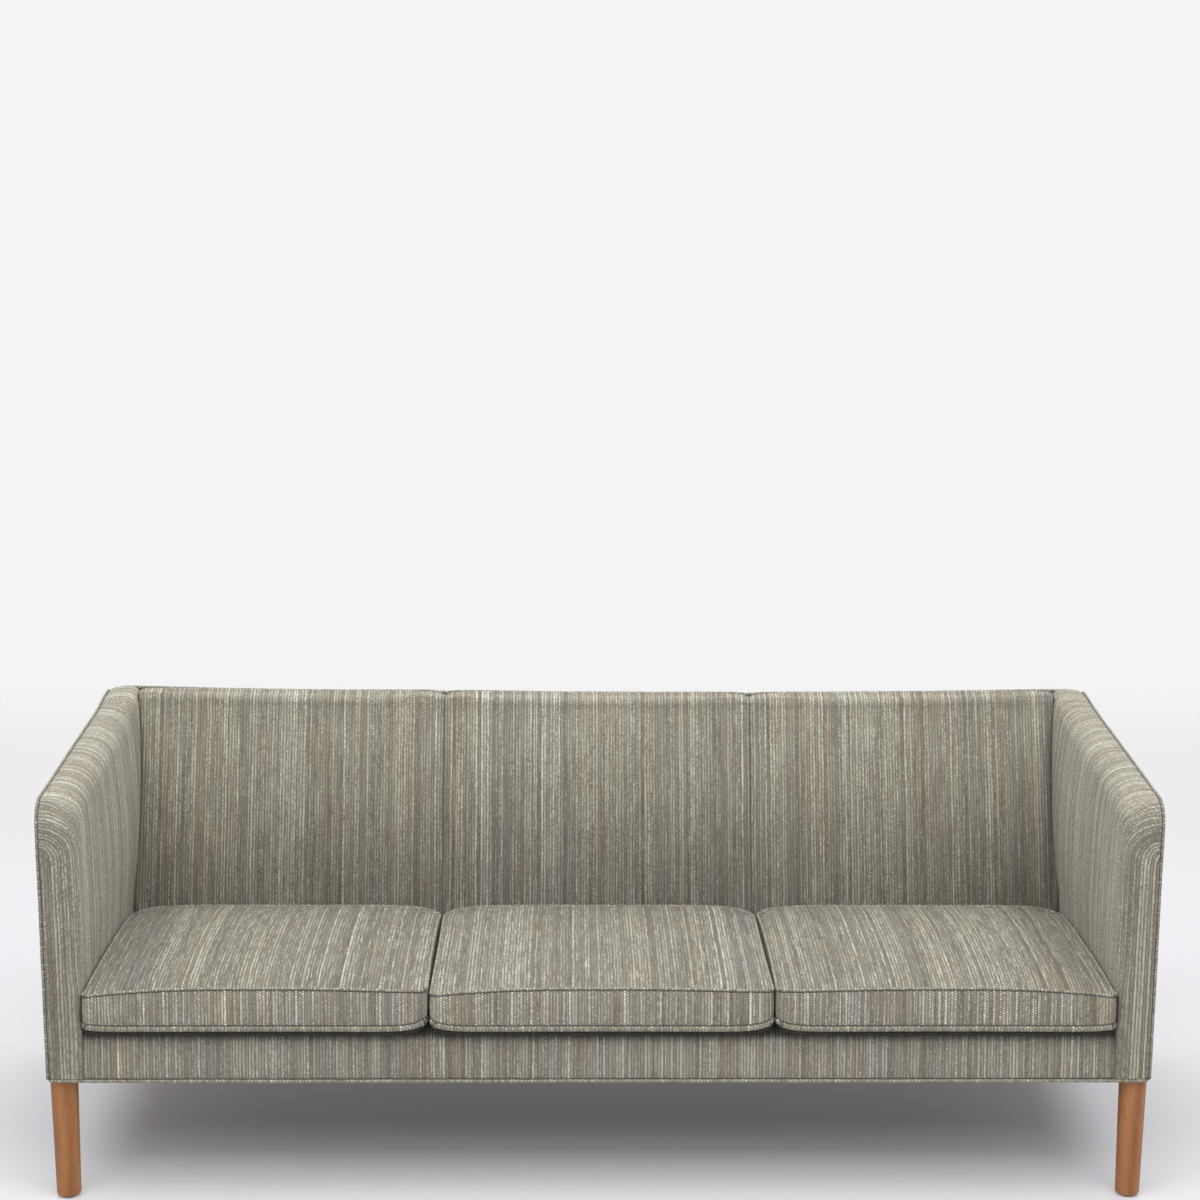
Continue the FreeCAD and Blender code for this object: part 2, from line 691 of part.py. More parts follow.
def ribbon(length, crossings, starts_over, width):
    """A strap along +Y, lying on the plane of the webbing, seen from its end of origin."""
    thick = size("dims.web_thickness")
    bend = size("dims.web_bend")
    flat = size("dims.web_width") / 2
    path = [(0.0, 0.0)]
    level = 0.0
    over = starts_over
    for place in crossings:
        wanted = thick if over else 0.0
        if wanted != level:
            path.append((place - flat - bend, level))
            path.append((place - flat, wanted))
            level = wanted
        over = not over
    if level:
        path.append((crossings[-1] + flat, level))
        path.append((crossings[-1] + flat + bend, 0.0))
    path.append((length, 0.0))
    lower = [FreeCAD.Vector(0, y, z) for y, z in path]
    upper = [FreeCAD.Vector(0, y, z + thick) for y, z in reversed(path)]
    outline = Part.makePolygon(lower + upper + [lower[0]])
    return Part.Face(outline).extrude(FreeCAD.Vector(width, 0, 0))


def spread(count, low, high):
    """Middles of equal strips between two places."""
    step = (high - low) / count
    return [low + step * (index + 0.5) for index in range(count)]


slope = math.radians(size("dims.seat_slope"))
web_length = size("%s - %s" % (BEAM_REAR, FRAME_FRONT)) / math.cos(slope)
web_half = size("%s" % SIDE_RAIL_INNER)
long_places = spread(CUSHIONS * LONG_STRAPS_PER_CUSHION, -size(ARM_INNER), size(ARM_INNER))
cross_low = size("%s - %s" % (FRONT_POST_BACK, FRAME_FRONT))
cross_high = size("%s - %s" % (BEAM_FRONT, FRAME_FRONT))
cross_places = spread(CROSS_STRAPS, cross_low, cross_high)
half_web = size("dims.web_width / 2")
long_straps = []
for index, place in enumerate(long_places):
    strap = ribbon(web_length, cross_places, index % 2 == 0, size("dims.web_width"))
    strap.translate(FreeCAD.Vector(place - half_web, 0, 0))
    long_straps.append(strap)
cross_straps = []
for index, place in enumerate(cross_places):
    crossings = [web_half + x for x in long_places]
    strap = ribbon(2 * web_half, crossings, index % 2 == 1, size("dims.web_width"))
    strap.rotate(FreeCAD.Vector(0, 0, 0), FreeCAD.Vector(0, 0, 1), -90)
    strap.translate(FreeCAD.Vector(-web_half, place + half_web, 0))
    cross_straps.append(strap)
web_place = FreeCAD.Placement(
    FreeCAD.Vector(0, size(FRAME_FRONT), size(WEB_FRONT)),
    FreeCAD.Rotation(FreeCAD.Vector(1, 0, 0), -size("dims.seat_slope")),
)
for name, straps in (("seat_webbing", long_straps), ("seat_cross_webbing", cross_straps)):
    webbing = keep(solid(name, Part.makeCompound(straps)))
    webbing.Placement = web_place

# Straps of the back, from the low rail to the top rail.
low_y, low_z = size(BACK_LOW_Y[0]), size(BACK_LOW_Z[0])
high_y, high_z = size(REAR_RAIL_FACE), size(FRAME_TOP)
back_lean = math.radians(size(BACK_LEAN))
back_run = math.hypot(high_y - low_y, high_z - low_z)
back_straps = []
for place in spread(CUSHIONS * BACK_STRAPS_PER_CUSHION, -size(ARM_INNER), size(ARM_INNER)):
    strap = Part.makeBox(size("dims.web_width"), size("dims.web_thickness"), back_run)
    strap.translate(FreeCAD.Vector(place - half_web, -size("dims.web_thickness"), 0))
    back_straps.append(strap)
back_webbing = keep(solid("back_webbing", Part.makeCompound(back_straps)))
back_webbing.Placement = FreeCAD.Placement(
    FreeCAD.Vector(0, low_y, low_z),
    FreeCAD.Rotation(FreeCAD.Vector(1, 0, 0), -math.degrees(back_lean)),
)

# Padded deck under the loose cushions.
DECK_X = ("(dims.pad_gap - %s)" % ARM_INNER, "(%s - dims.pad_gap)" % ARM_INNER)
deck_slab = sloped_block(
    "deck_slab",
    DECK_X,
    FRAME_FRONT,
    DECK_LOW,
    "(%s - %s) / cos(dims.seat_slope * 1 deg)" % (BEAM_REAR, FRAME_FRONT),
    "dims.deck_thickness",
)
seat_deck = rounded(
    "seat_deck",
    deck_slab,
    (0, size(FRAME_FRONT), deck_level(size(FRAME_FRONT))),
    "dims.deck_round",
)
keep(seat_deck)

# Front border, padded, with the seam in its middle.
border_slab = block(
    "border_slab",
    ("-" + ARM_INNER, ARM_INNER),
    (FRONT, FRAME_FRONT),
    (SKIRT, DECK_FRONT),
)
border_soft = rounded(
    "border_soft",
    border_slab,
    (0, size(FRONT), size(DECK_FRONT)),
    "dims.border_round",
)
seam_cut = block(
    "seam_cut",
    ("-dims.border_seam / 2", "dims.border_seam / 2"),
    (less(FRONT, "dims.overrun"), plus(FRONT, "dims.border_seam")),
    (less(SKIRT, "dims.overrun"), plus(WEB_FRONT, "dims.overrun")),
)
keep(carved("front_border", border_soft, seam_cut))

# Arms. The form is lofted from front to back: its inner upper edge rolls over, its front corners
# are rounded, and its inner side swells towards the back.


def roll(radius, distance):
    """How far a rounding of this radius still is from its side, at a distance from its end."""
    rest = max(radius - distance, 0.0)
    return radius - math.sqrt(radius * radius - rest * rest)


def arm_section(y, distance, crown, thicker):
    outer = size(FRAME_SIDE)
    plain_inner = size(ARM_INNER)
    inner = plain_inner + roll(size("dims.arm_front_roll"), distance) - thicker
    top = size(TOP) - roll(size("dims.arm_corner"), distance)
    fall = size("dims.arm_roll") * (outer - inner) / (outer - plain_inner + thicker)
    turn = fall * math.sqrt(0.5)
    foot = size("dims.arm_crown_foot")
    shoulder = top - fall
    low = size(SKIRT)
    return closed_wire(
        [
            line((outer, y, low), (outer, y, top)),
            line((outer, y, top), (inner + fall, y, top)),
            arc(
                (inner + fall, y, top),
                (inner + fall - turn, y, top - fall + turn),
                (inner, y, shoulder),
            ),
            arc((inner, y, shoulder), (inner - crown, y, (shoulder + foot) / 2), (inner, y, foot)),
            line((inner, y, foot), (inner, y, low)),
            line((inner, y, low), (outer, y, low)),
        ]
    )


def arm_form(thicker=0.0):
    """The whole form of the right arm, its inner side moved in by thicker."""
    front = size(FRONT)
    length = size("%s - %s" % (FRAME_REAR, FRONT))
    nose = size("dims.arm_corner")
    least = size("dims.arm_crown_least")
    full = size("dims.arm_crown")
    sections = [arm_section(front + nose * share, nose * share, least, thicker) for share in ARM_NOSE_SHARES]
    for place, crown in zip(ARM_LENGTH_SHARES, ARM_CROWN_SHARES):
        section = arm_section(front + length * place, length, least + (full - least) * crown, thicker)
        sections.append(section)
    return Part.makeLoft(sections, True, True)


arm_frame_space = block(
    "arm_frame_space",
    (HESSIAN_INNER, plus(SIDE, "dims.overrun")),
    (FRAME_FRONT, plus(REAR, "dims.overrun")),
    ("0", FRAME_TOP),
)
back_frame_space = block(
    "back_frame_space",
    ("0", plus(SIDE, "dims.overrun")),
    (REAR_POST_FACE, plus(REAR, "dims.overrun")),
    ("0", FRAME_TOP),
)
DECK_SPACE_LOW = plus(DECK_LOW, "dims.pad_gap")
above_deck_foot = sloped_block(
    "above_deck_foot",
    ("0", plus(SIDE, "dims.overrun")),
    FRAME_FRONT,
    DECK_SPACE_LOW,
    "dims.body_depth",
    "dims.sofa_height",
)
low_space = block(
    "low_space",
    ("0", plus(SIDE, "dims.overrun")),
    (FRAME_FRONT, plus(REAR, "dims.overrun")),
    ("0", DECK_SPACE_LOW),
)
under_deck_space = carved("under_deck_space", low_space, above_deck_foot)
right_arm_pad = carved(
    "right_arm_pad",
    solid("arm_form", arm_form()),
    arm_frame_space,
    back_frame_space,
    under_deck_space,
)

# Back, one pad with a sewn channel at each joint between the cushions.


def back_section(x, depth):
    """The back seen from the side, its cover drawn in by depth."""
    gap = size("dims.pad_gap")
    slope_run = math.tan(math.radians(size("dims.seat_slope")))
    rear = size(FRAME_REAR)
    top = size(TOP) - depth
    face_top = size(REAR) - size("dims.back_top_depth") + depth
    foot = size(SEAT_REAR) + depth
    boxing = size("dims.cushion_boxing")
    deck = deck_level(size(SEAT_REAR)) + gap
    foot_y = foot - boxing * slope_run
    fall = size("dims.back_roll")
    turn = fall * math.sqrt(0.5)
    strap = size("dims.web_thickness") / math.cos(back_lean) + gap
    lean = math.tan(back_lean)
    rest = deck_level(low_y)
    rest_rear = low_y + (rest - low_z) * lean - strap
    head = size(FRAME_TOP) + gap
    head_rear = low_y + (head - low_z) * lean - strap
    crown = size("dims.back_crown")
    return closed_wire(
        [
            line((x, foot_y, deck), (x, rest_rear, rest)),
            line((x, rest_rear, rest), (x, head_rear, head)),
            line((x, head_rear, head), (x, rear, head)),
            line((x, rear, head), (x, rear, top)),
            line((x, rear, top), (x, face_top + fall, top)),
            arc(
                (x, face_top + fall, top),
                (x, face_top + fall - turn, top - fall + turn),
                (x, face_top, top - fall),
            ),
            arc(
                (x, face_top, top - fall),
                (x, (face_top + foot) / 2 - crown, (top - fall + deck + boxing) / 2),
                (x, foot, deck + boxing),
            ),
            line((x, foot, deck + boxing), (x, foot_y, deck)),
        ]
    )


def back_bay(start, end):
    """One bay of the back between two channels or between a channel and an arm."""
    half = (end - start) / 2
    depth = size("dims.channel_depth")
    reach = [share * half for share in BAY_PLACE_SHARES]
    depths = [share * depth for share in BAY_DEPTH_SHARES]
    places = [start + step for step in reach] + [end - step for step in reversed(reach[:-1])]
    falls = depths + list(reversed(depths[:-1]))
    return Part.makeLoft([back_section(x, fall) for x, fall in zip(places, falls)], True, True)


back_end = size("%s - dims.pad_gap" % ARM_INNER)
channel = size(CHANNEL)
bays = [back_bay(-back_end, -channel), back_bay(-channel, channel), back_bay(channel, back_end)]
back_form = solid("back_form", bays[0].fuse(bays[1]).fuse(bays[2]))
arm_space = solid("arm_space", arm_form(size("dims.pad_gap")))
arm_space_left = mirrored("arm_space_left", arm_space)
keep(carved("back_pad", back_form, arm_space, arm_space_left))

# Outside covers, inside the line of the piping.
right_outside_arm = rounded(
    "right_outside_arm",
    block(
        "outside_arm_sheet",
        (FRAME_SIDE, plus(FRAME_SIDE, "dims.panel_thickness")),
        (plus(FRONT, "dims.piping_diameter"), FRAME_REAR),
        (SKIRT, less(TOP, "dims.piping_diameter")),
    ),
    (size(FRAME_SIDE + " + dims.panel_thickness / 2"), size(FRONT), size(TOP)),
    "dims.arm_corner - dims.piping_diameter / 2",
)
back_sheet = block(
    "outside_back_sheet",
    ("-" + FRAME_SIDE, FRAME_SIDE),
    (FRAME_REAR, plus(FRAME_REAR, "dims.panel_thickness")),
    (SKIRT, less(TOP, "dims.piping_diameter")),
)
back_edge_y = size(FRAME_REAR + " + dims.panel_thickness / 2")
one_corner = (size(FRAME_SIDE), back_edge_y, size(TOP))
other_corner = (-size(FRAME_SIDE), back_edge_y, size(TOP))
half_rounded = rounded("outside_back_half", back_sheet, one_corner, "dims.piping_bend")
keep(rounded("outside_back", half_rounded, other_corner, "dims.piping_bend"))

# Piping along the outer edges.


def cord_section(centre, out, over, radius):
    """One cross-section of a cord, between its way out and the way over."""
    corners = []
    for index in range(CORD_FACE_COUNT):
        angle = 2 * math.pi * index / CORD_FACE_COUNT
        corners.append(centre + out * (radius * math.cos(angle)) + over * (radius * math.sin(angle)))
    return Part.makePolygon(corners + corners[:1])


def open_cord(stations, over, radius):
    """A cord with two ends, through stations that each give a place and the way out there."""
    return Part.makeLoft([cord_section(place, out, over, radius) for place, out in stations], True, True)


def closed_cord(stations, over, radius):
    """A cord that runs back into itself."""
    sections = [cord_section(place, out, over, radius) for place, out in stations]
    skin = Part.makeLoft(sections + sections[:1], False, True)
    return Part.Solid(Part.Shell(skin.Faces))


def bend(centre, radius, first, second):
    """Stations round a quarter turn from one direction of its centre to another."""
    stations = []
    for step in range(BEND_STEP_COUNT + 1):
        angle = math.pi / 2 * step / BEND_STEP_COUNT
        out = first * math.cos(angle) + second * math.sin(angle)
        stations.append((centre + out * radius, out))
    return stations


cord_radius = size("dims.piping_diameter / 2")
edge_x = size(SIDE) - cord_radius
edge_front = size(FRONT) + cord_radius
edge_rear = size(REAR) - cord_radius
edge_top = size(TOP) - cord_radius
skirt = size(SKIRT)
corner = size("dims.arm_corner") - cord_radius
turn_radius = size("dims.piping_bend")
UP = FreeCAD.Vector(0, 0, 1)
ACROSS = FreeCAD.Vector(1, 0, 0)
BACKWARD = FreeCAD.Vector(0, 1, 0)

arm_bend = FreeCAD.Vector(edge_x, edge_front + corner, edge_top - corner)
arm_stations = (
    [(FreeCAD.Vector(edge_x, edge_front, skirt), -BACKWARD)]
    + bend(arm_bend, corner, -BACKWARD, UP)
    + [(FreeCAD.Vector(edge_x, size(FRAME_REAR), edge_top), UP)]
)
right_arm_piping = solid("right_arm_piping", open_cord(arm_stations, ACROSS, cord_radius))

back_bend = FreeCAD.Vector(edge_x - turn_radius, edge_rear, edge_top - turn_radius)
other_bend = FreeCAD.Vector(-back_bend.x, back_bend.y, back_bend.z)
back_stations = (
    [(FreeCAD.Vector(edge_x, edge_rear, skirt), ACROSS)]
    + bend(back_bend, turn_radius, ACROSS, UP)
    + bend(other_bend, turn_radius, UP, -ACROSS)
    + [(FreeCAD.Vector(-edge_x, edge_rear, skirt), -ACROSS)]
)
keep(solid("back_piping", open_cord(back_stations, BACKWARD, cord_radius)))

cord_level = skirt - cord_radius
far_x = edge_x - turn_radius
near_y = edge_front - size("dims.piping_diameter - dims.panel_thickness") + turn_radius
far_y = edge_rear - turn_radius
hem_stations = []
for x, y, first, second in (
    (far_x, near_y, -BACKWARD, ACROSS),
    (far_x, far_y, ACROSS, BACKWARD),
    (-far_x, far_y, BACKWARD, -ACROSS),
    (-far_x, near_y, -ACROSS, -BACKWARD),
):
    hem_stations += bend(FreeCAD.Vector(x, y, cord_level), turn_radius, first, second)
keep(solid("bottom_piping", closed_cord(hem_stations, UP, cord_radius)))

# Dust cloth under the frame, cut away round the legs.
dust_sheet = block(
    "dust_sheet",
    ("-(%s - dims.dust_margin)" % FRAME_SIDE, less(FRAME_SIDE, "dims.dust_margin")),
    (plus(FRAME_FRONT, "dims.dust_margin"), less(FRAME_REAR, "dims.dust_margin")),
    (less(FRAME_LOW, "dims.dust_thickness"), FRAME_LOW),
)
NOTCH_X = ("(%s - dims.leg_neck_diameter / 2 - dims.dust_margin)" % LEG_X, SIDE)
NOTCH_Z = (less(FRAME_LOW, "dims.overrun"), plus(FRAME_LOW, "dims.overrun"))
front_notch = block(
    "front_notch",
    NOTCH_X,
    (FRONT, "(%s + dims.leg_neck_diameter / 2 + dims.dust_margin)" % FRONT_LEG_Y),
    NOTCH_Z,
)
rear_notch = block(
    "rear_notch",
    NOTCH_X,
    ("(%s - dims.leg_neck_diameter / 2 - dims.dust_margin)" % REAR_LEG_Y, REAR),
    NOTCH_Z,
)
keep(
    carved(
        "dust_cover",
        dust_sheet,
        front_notch,
        rear_notch,
        mirrored("front_notch_left", front_notch),
        mirrored("rear_notch_left", rear_notch),
    )
)

# Loose seat cushions, each with its cover, its foam and its two rings of piping.
# A cushion is made flat, its lower front edge on the X axis, and then laid on the sloping deck.
CUSHION_NAMES = ("left", "middle", "right")
pitch = size(CUSHION_PITCH)
cushion_width = pitch - size("dims.cushion_gap")
cushion_front = size("%s - dims.cushion_overhang" % FRONT)
cushion_depth = (
    size("%s - dims.cushion_back_gap" % SEAT_REAR)
    - size("dims.cushion_boxing") * math.tan(slope)
    - cushion_front
) / math.cos(slope)
cord = size("dims.cushion_cord")
cord_space = cord + size("dims.core_gap") / 2


def rise(share):
    """A flat curve that is 1 in the middle and 0 at both ends of a share from 0 to 1."""
    return 1.0 - (2.0 * share - 1.0) ** 2


def top_level(x_share, y_share, inset):
    """Height of the cushion's top, over its sewn corners, less an inset all round."""
    bow = size("dims.cushion_bow")
    crown = size("dims.cushion_crown")
    edge = size("dims.cushion_boxing") - inset
    return edge + bow * (rise(x_share) + rise(y_share)) + (crown - bow) * rise(x_share) * rise(y_share)


def crowned_slab(inset):
    """The space between the cushion's flat underside and its crowned top."""
    sections = []
    low = inset
    for y_share in CUSHION_LENGTH_SHARES:
        y = y_share * cushion_depth
        left = -cushion_width / 2
        right = cushion_width / 2
        side = top_level(0.0, y_share, inset)
        middle = top_level(0.5, y_share, inset)
        sections.append(
            closed_wire(
                [
                    line((left, y, low), (right, y, low)),
                    line((right, y, low), (right, y, side)),
                    arc((right, y, side), (0, y, middle), (left, y, side)),
                    line((left, y, side), (left, y, low)),
                ]
            )
        )
    return Part.makeLoft(sections, True, True)


def plan_points(inset):
    """Corner centres and drawn-in sides of the cushion's wall, seen from above."""
    return (
        cushion_width / 2 - cord_space - inset,
        cord_space + inset,
        cushion_depth - cord_space - inset,
        size("dims.cushion_corner") - inset,
        size("dims.cushion_draw"),
    )


def plan_column(inset):
    """An upright column over the cushion's plan: drawn-in sides between rounded corners."""
    half, near, far, radius, draw = plan_points(inset)
    tall = size("dims.cushion_boxing + 2 * dims.cushion_bow + dims.cushion_crown + dims.overrun")
    turn = radius * (1 - math.sqrt(0.5))
    edges = []
    for sign in (1, -1):
        side = sign * half
        inner = sign * (half - radius)
        inner_turn = sign * (half - turn)
        edges.append(arc((inner, near, 0), (inner_turn, near + turn, 0), (side, near + radius, 0)))
        edges.append(arc((inner, far, 0), (inner_turn, far - turn, 0), (side, far - radius, 0)))
        middle = (sign * (half - draw), (near + far) / 2, 0)
        edges.append(arc((side, near + radius, 0), middle, (side, far - radius, 0)))
    left = radius - half
    right = half - radius
    edges.append(arc((left, near, 0), (0, near + draw / 2, 0), (right, near, 0)))
    edges.append(arc((left, far, 0), (0, far - draw / 2, 0), (right, far, 0)))
    return Part.Face(closed_wire(edges)).extrude(FreeCAD.Vector(0, 0, tall))


def cushion_form(inset):
    return crowned_slab(inset).common(plan_column(inset))


def ring_plan():
    """Places round the cushion on the piping's centre line, with the way out at each."""
    half, near, far, radius, draw = plan_points(0.0)
    places = []

    def side(start, end, out, pull, steps):
        for step in range(steps):
            share = step / steps
            point = start + (end - start) * share - out * (pull * rise(share))
            places.append((point, out))

    def turn(centre, first, second):
        for step in range(CORNER_STEP_COUNT):
            angle = math.pi / 2 * step / CORNER_STEP_COUNT
            out = first * math.cos(angle) + second * math.sin(angle)
            places.append((centre + out * radius, out))

    right = FreeCAD.Vector(half - radius, 0, 0)
    left = -right
    front = FreeCAD.Vector(0, near + radius, 0)
    back = FreeCAD.Vector(0, far - radius, 0)
    reach_x = ACROSS * radius
    reach_y = BACKWARD * radius
    side(left + front - reach_y, right + front - reach_y, -BACKWARD, draw / 2, SIDE_STEP_COUNT)
    turn(right + front, -BACKWARD, ACROSS)
    side(right + front + reach_x, right + back + reach_x, ACROSS, draw, SIDE_STEP_COUNT)
    turn(right + back, ACROSS, BACKWARD)
    side(right + back + reach_y, left + back + reach_y, BACKWARD, draw / 2, SIDE_STEP_COUNT)
    turn(left + back, BACKWARD, -ACROSS)
    side(left + back - reach_x, left + front - reach_x, -ACROSS, draw, SIDE_STEP_COUNT)
    turn(left + front, -ACROSS, -BACKWARD)
    return places


def cord_ring(at_top):
    """A closed ring of piping that stands just outside the cushion's wall."""
    radius = cord / 2
    stations = []
    for point, out in ring_plan():
        level = radius
        if at_top:
            x_share = point.x / cushion_width + 0.5
            level = top_level(x_share, point.y / cushion_depth, 0.0)
        stations.append((point + out * (cord_space - radius) + UP * level, out))
    return closed_cord(stations, UP, radius)


cover_inset = size("dims.cover_thickness")
core_inset = size("dims.cover_thickness + dims.core_gap")
outer_form = cushion_form(0.0)
cover_shape = outer_form.cut(cushion_form(cover_inset))
core_shape = cushion_form(core_inset)
ring_shape = Part.makeCompound([cord_ring(True), cord_ring(False)])
cushion_level = deck_level(cushion_front) + size("dims.cushion_deck_gap")
for index, side_name in enumerate(CUSHION_NAMES):
    middle_x = (index - (CUSHIONS - 1) / 2) * pitch
    place = FreeCAD.Placement(
        FreeCAD.Vector(middle_x, cushion_front, cushion_level),
        FreeCAD.Rotation(ACROSS, -size("dims.seat_slope")),
    )
    for part_name, shape in (("cover", cover_shape), ("foam", core_shape), ("piping", ring_shape)):
        piece = keep(solid("%s_cushion_%s" % (side_name, part_name), shape.copy()))
        piece.Placement = place

# Pieces that both sides have.
for piece in (
    right_side_rail,
    right_arm_low_rail,
    right_front_post,
    right_rear_post,
    right_arm_top_rail,
    right_batten,
    right_stretcher,
    right_upright,
    right_arm_hessian,
    right_arm_pad,
    right_outside_arm,
    right_arm_piping,
):
    keep(piece)
    keep(mirrored(piece.Name.replace("right_", "left_"), piece))

doc.recompute()

# Every object has to be sound before anything is written.
for item in doc.Objects:
    if "Invalid" in item.State or "Error" in item.State:
        raise RuntimeError("not sound: " + item.Name)
for piece in nodes:
    if piece.Shape.isNull() or not piece.Shape.isValid() or not piece.Shape.Solids:
        raise RuntimeError("no valid shape: " + piece.Name)

os.makedirs("parts", exist_ok=True)
for piece in nodes:
    piece.Shape.exportStep("parts/%s.step" % piece.Name)
print("%d nodes written" % len(nodes))
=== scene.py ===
import math

import bpy
from mathutils import Matrix, Vector, noise


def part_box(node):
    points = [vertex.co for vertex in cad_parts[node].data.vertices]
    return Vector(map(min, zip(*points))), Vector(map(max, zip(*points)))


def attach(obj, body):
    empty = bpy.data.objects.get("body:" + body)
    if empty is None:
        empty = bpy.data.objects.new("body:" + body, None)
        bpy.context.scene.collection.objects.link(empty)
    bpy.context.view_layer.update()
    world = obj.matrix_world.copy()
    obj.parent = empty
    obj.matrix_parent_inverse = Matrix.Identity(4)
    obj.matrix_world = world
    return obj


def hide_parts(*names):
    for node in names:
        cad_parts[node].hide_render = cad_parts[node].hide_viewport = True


# Looks of the three-seater sofa, in metres. X runs along the width, the front faces -Y, +Z is up.

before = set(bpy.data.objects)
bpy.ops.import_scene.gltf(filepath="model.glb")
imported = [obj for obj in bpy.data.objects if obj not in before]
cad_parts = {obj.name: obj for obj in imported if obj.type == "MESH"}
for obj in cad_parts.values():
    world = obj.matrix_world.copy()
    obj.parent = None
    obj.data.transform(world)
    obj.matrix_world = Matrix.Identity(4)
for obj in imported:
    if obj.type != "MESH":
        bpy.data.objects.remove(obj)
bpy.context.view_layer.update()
SCENE = bpy.context.scene
SIDES = (("left", -1), ("right", 1))
# Noise vectors are drawn from this seed, so that the piping's small waves stay the same.
noise.seed_set(1)
X, Y, Z = Vector((1, 0, 0)), Vector((0, 1, 0)), Vector((0, 0, 1))

# Planes of the frame, the slope of its deck, and the radii of piping and of the dark seam
# cords, which stand for stitching and for painted shade in the crevices.
OUTER = 0.994
FRONT = -0.374
REAR = 0.376
TOP = 0.760
SKIRT = 0.2375
ARM_INNER = 0.932
DECK_FRONT = 0.3331
SLOPE = math.radians(4.25)
CORD = 0.003
FINE_THREAD = 0.0007
EDGE_THREAD = 0.0008

# This UV map keeps the places of the cloth in metres, across its stripes and along them.
WEAVE_MAP = "weave"


def smooth(value, low, high):
    """0 below low, 1 above high, and an even turn between them."""
    share = min(max((value - low) / (high - low), 0.0), 1.0)
    return share * share * (3.0 - 2.0 * share)


def rise(share):
    """1 in the middle and 0 at both ends of a share from 0 to 1."""
    return 1.0 - (2.0 * share - 1.0) ** 2


def pillow(point, low, high, power):
    """1 in the middle of a flat panel and 0 along its edges."""
    full = 1.0
    for place, start, end in zip(point, low, high):
        full *= rise((place - start) / (end - start))
    return max(full, 0.0) ** power


def spaced(low, high, step):
    """Even places from low to high, about a step apart."""
    count = max(int(math.ceil((high - low) / step - 1e-6)), 1)
    return [low + (high - low) * index / count for index in range(count + 1)]


def turns(count):
    """Angles of a quarter turn in even steps, without its start."""
    return [math.pi / 2 * step / count for step in range(1, count + 1)]


def rounded(across, up, wide, tall, count):
    """Places round an upper edge, from the face below it to the one behind it."""
    return [
        (across + wide * (1 - math.cos(angle)), up + tall * math.sin(angle))
        for angle in turns(count)
    ]


# Meshes


def build(name, points, faces, places, material, levels=0):
    """An object from points and faces, with a weave place for each corner of each face."""
    mesh = bpy.data.meshes.new(name)
    mesh.from_pydata([tuple(point) for point in points], [], faces)
    layer = mesh.uv_layers.new(name=WEAVE_MAP)
    layer.data.foreach_set("uv", [value for face in places for corner in face for value in corner])
    mesh.polygons.foreach_set("use_smooth", [True] * len(mesh.polygons))
    mesh.materials.append(material)
    piece = bpy.data.objects.new(name, mesh)
    SCENE.collection.objects.link(piece)
    if levels:
        finer = piece.modifiers.new("Finer", "SUBSURF")
        finer.levels = levels
        finer.render_levels = levels
    return piece


def declare(piece, slot, *nodes, body="sofa", fill=None):
    """The body that a piece rides on, and the nodes that it stands for, which it hides. slot and
    fill are not used.
    """
    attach(piece, body)
    if nodes:
        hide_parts(*nodes)


def grid_faces(rows, columns, first=0):
    """Faces of a grid of points, which are counted row by row from the first."""
    faces = []
    for row in range(rows - 1):
        for column in range(columns - 1):
            low = first + row * columns + column
            high = low + columns
            faces.append((low, low + 1, high + 1, high))
    return faces


def flipped(faces):
    return [tuple(reversed(face)) for face in faces]


def placed(points, faces, weave):
    """Weave places of all the faces' corners, from one function of a point."""
    at = [weave(point) for point in points]
    return [[at[index] for index in face] for face in faces]


def sheet(name, rows, columns, shape, weave, material, turned=False, levels=1, keep=None):
    """A piece of cloth over a grid, with a point for each row and column from shape. keep says
    of the middle of a face whether it stays."""
    points = [Vector(shape(row, column)) for row in rows for column in columns]
    faces = grid_faces(len(rows), len(columns))
    if turned:
        faces = flipped(faces)
    if keep:
        middles = [sum((points[index] for index in face), Vector()) / 4 for face in faces]
        faces = [face for face, middle in zip(faces, middles) if keep(middle)]
    return build(name, points, faces, placed(points, faces, weave), material, levels)


def tube(name, path, radius, material, over, closed, sides, tall=1.0):
    """A cord along a path, tall times as high along over as it is wide."""
    count = len(path)
    lengths = [0.0]
    for index in range(count):
        lengths.append(lengths[-1] + (path[(index + 1) % count] - path[index]).length)
    points = []
    for index, place in enumerate(path):
        before = path[index - 1] if closed or index else place
        after = path[(index + 1) % count] if closed or index < count - 1 else place
        along = (after - before).normalized()
        out = along.cross(over).normalized()
        up = out.cross(along).normalized()
        for side in range(sides):
            angle = 2 * math.pi * side / sides
            points.append(place + (out * math.cos(angle) + up * math.sin(angle) * tall) * radius)
    faces = []
    places = []
    for ring in range(count if closed else count - 1):
        run, run_after = lengths[ring], lengths[ring + 1]
        low, high = ring * sides, (ring + 1) % count * sides
        for side in range(sides):
            turn = (side + 1) % sides
            faces.append((low + side, low + turn, high + turn, high + side))
            here = 2 * math.pi * radius * side / sides
            there = 2 * math.pi * radius * (side + 1) / sides
            places.append(((run, here), (run, there), (run_after, there), (run_after, here)))
    if not closed:
        last = (count - 1) * sides
        faces += [tuple(reversed(range(sides))), tuple(range(last, last + sides))]
        places += [[(0.0, 0.0)] * sides] * 2
    return build(name, points, faces, places, material)


# Materials


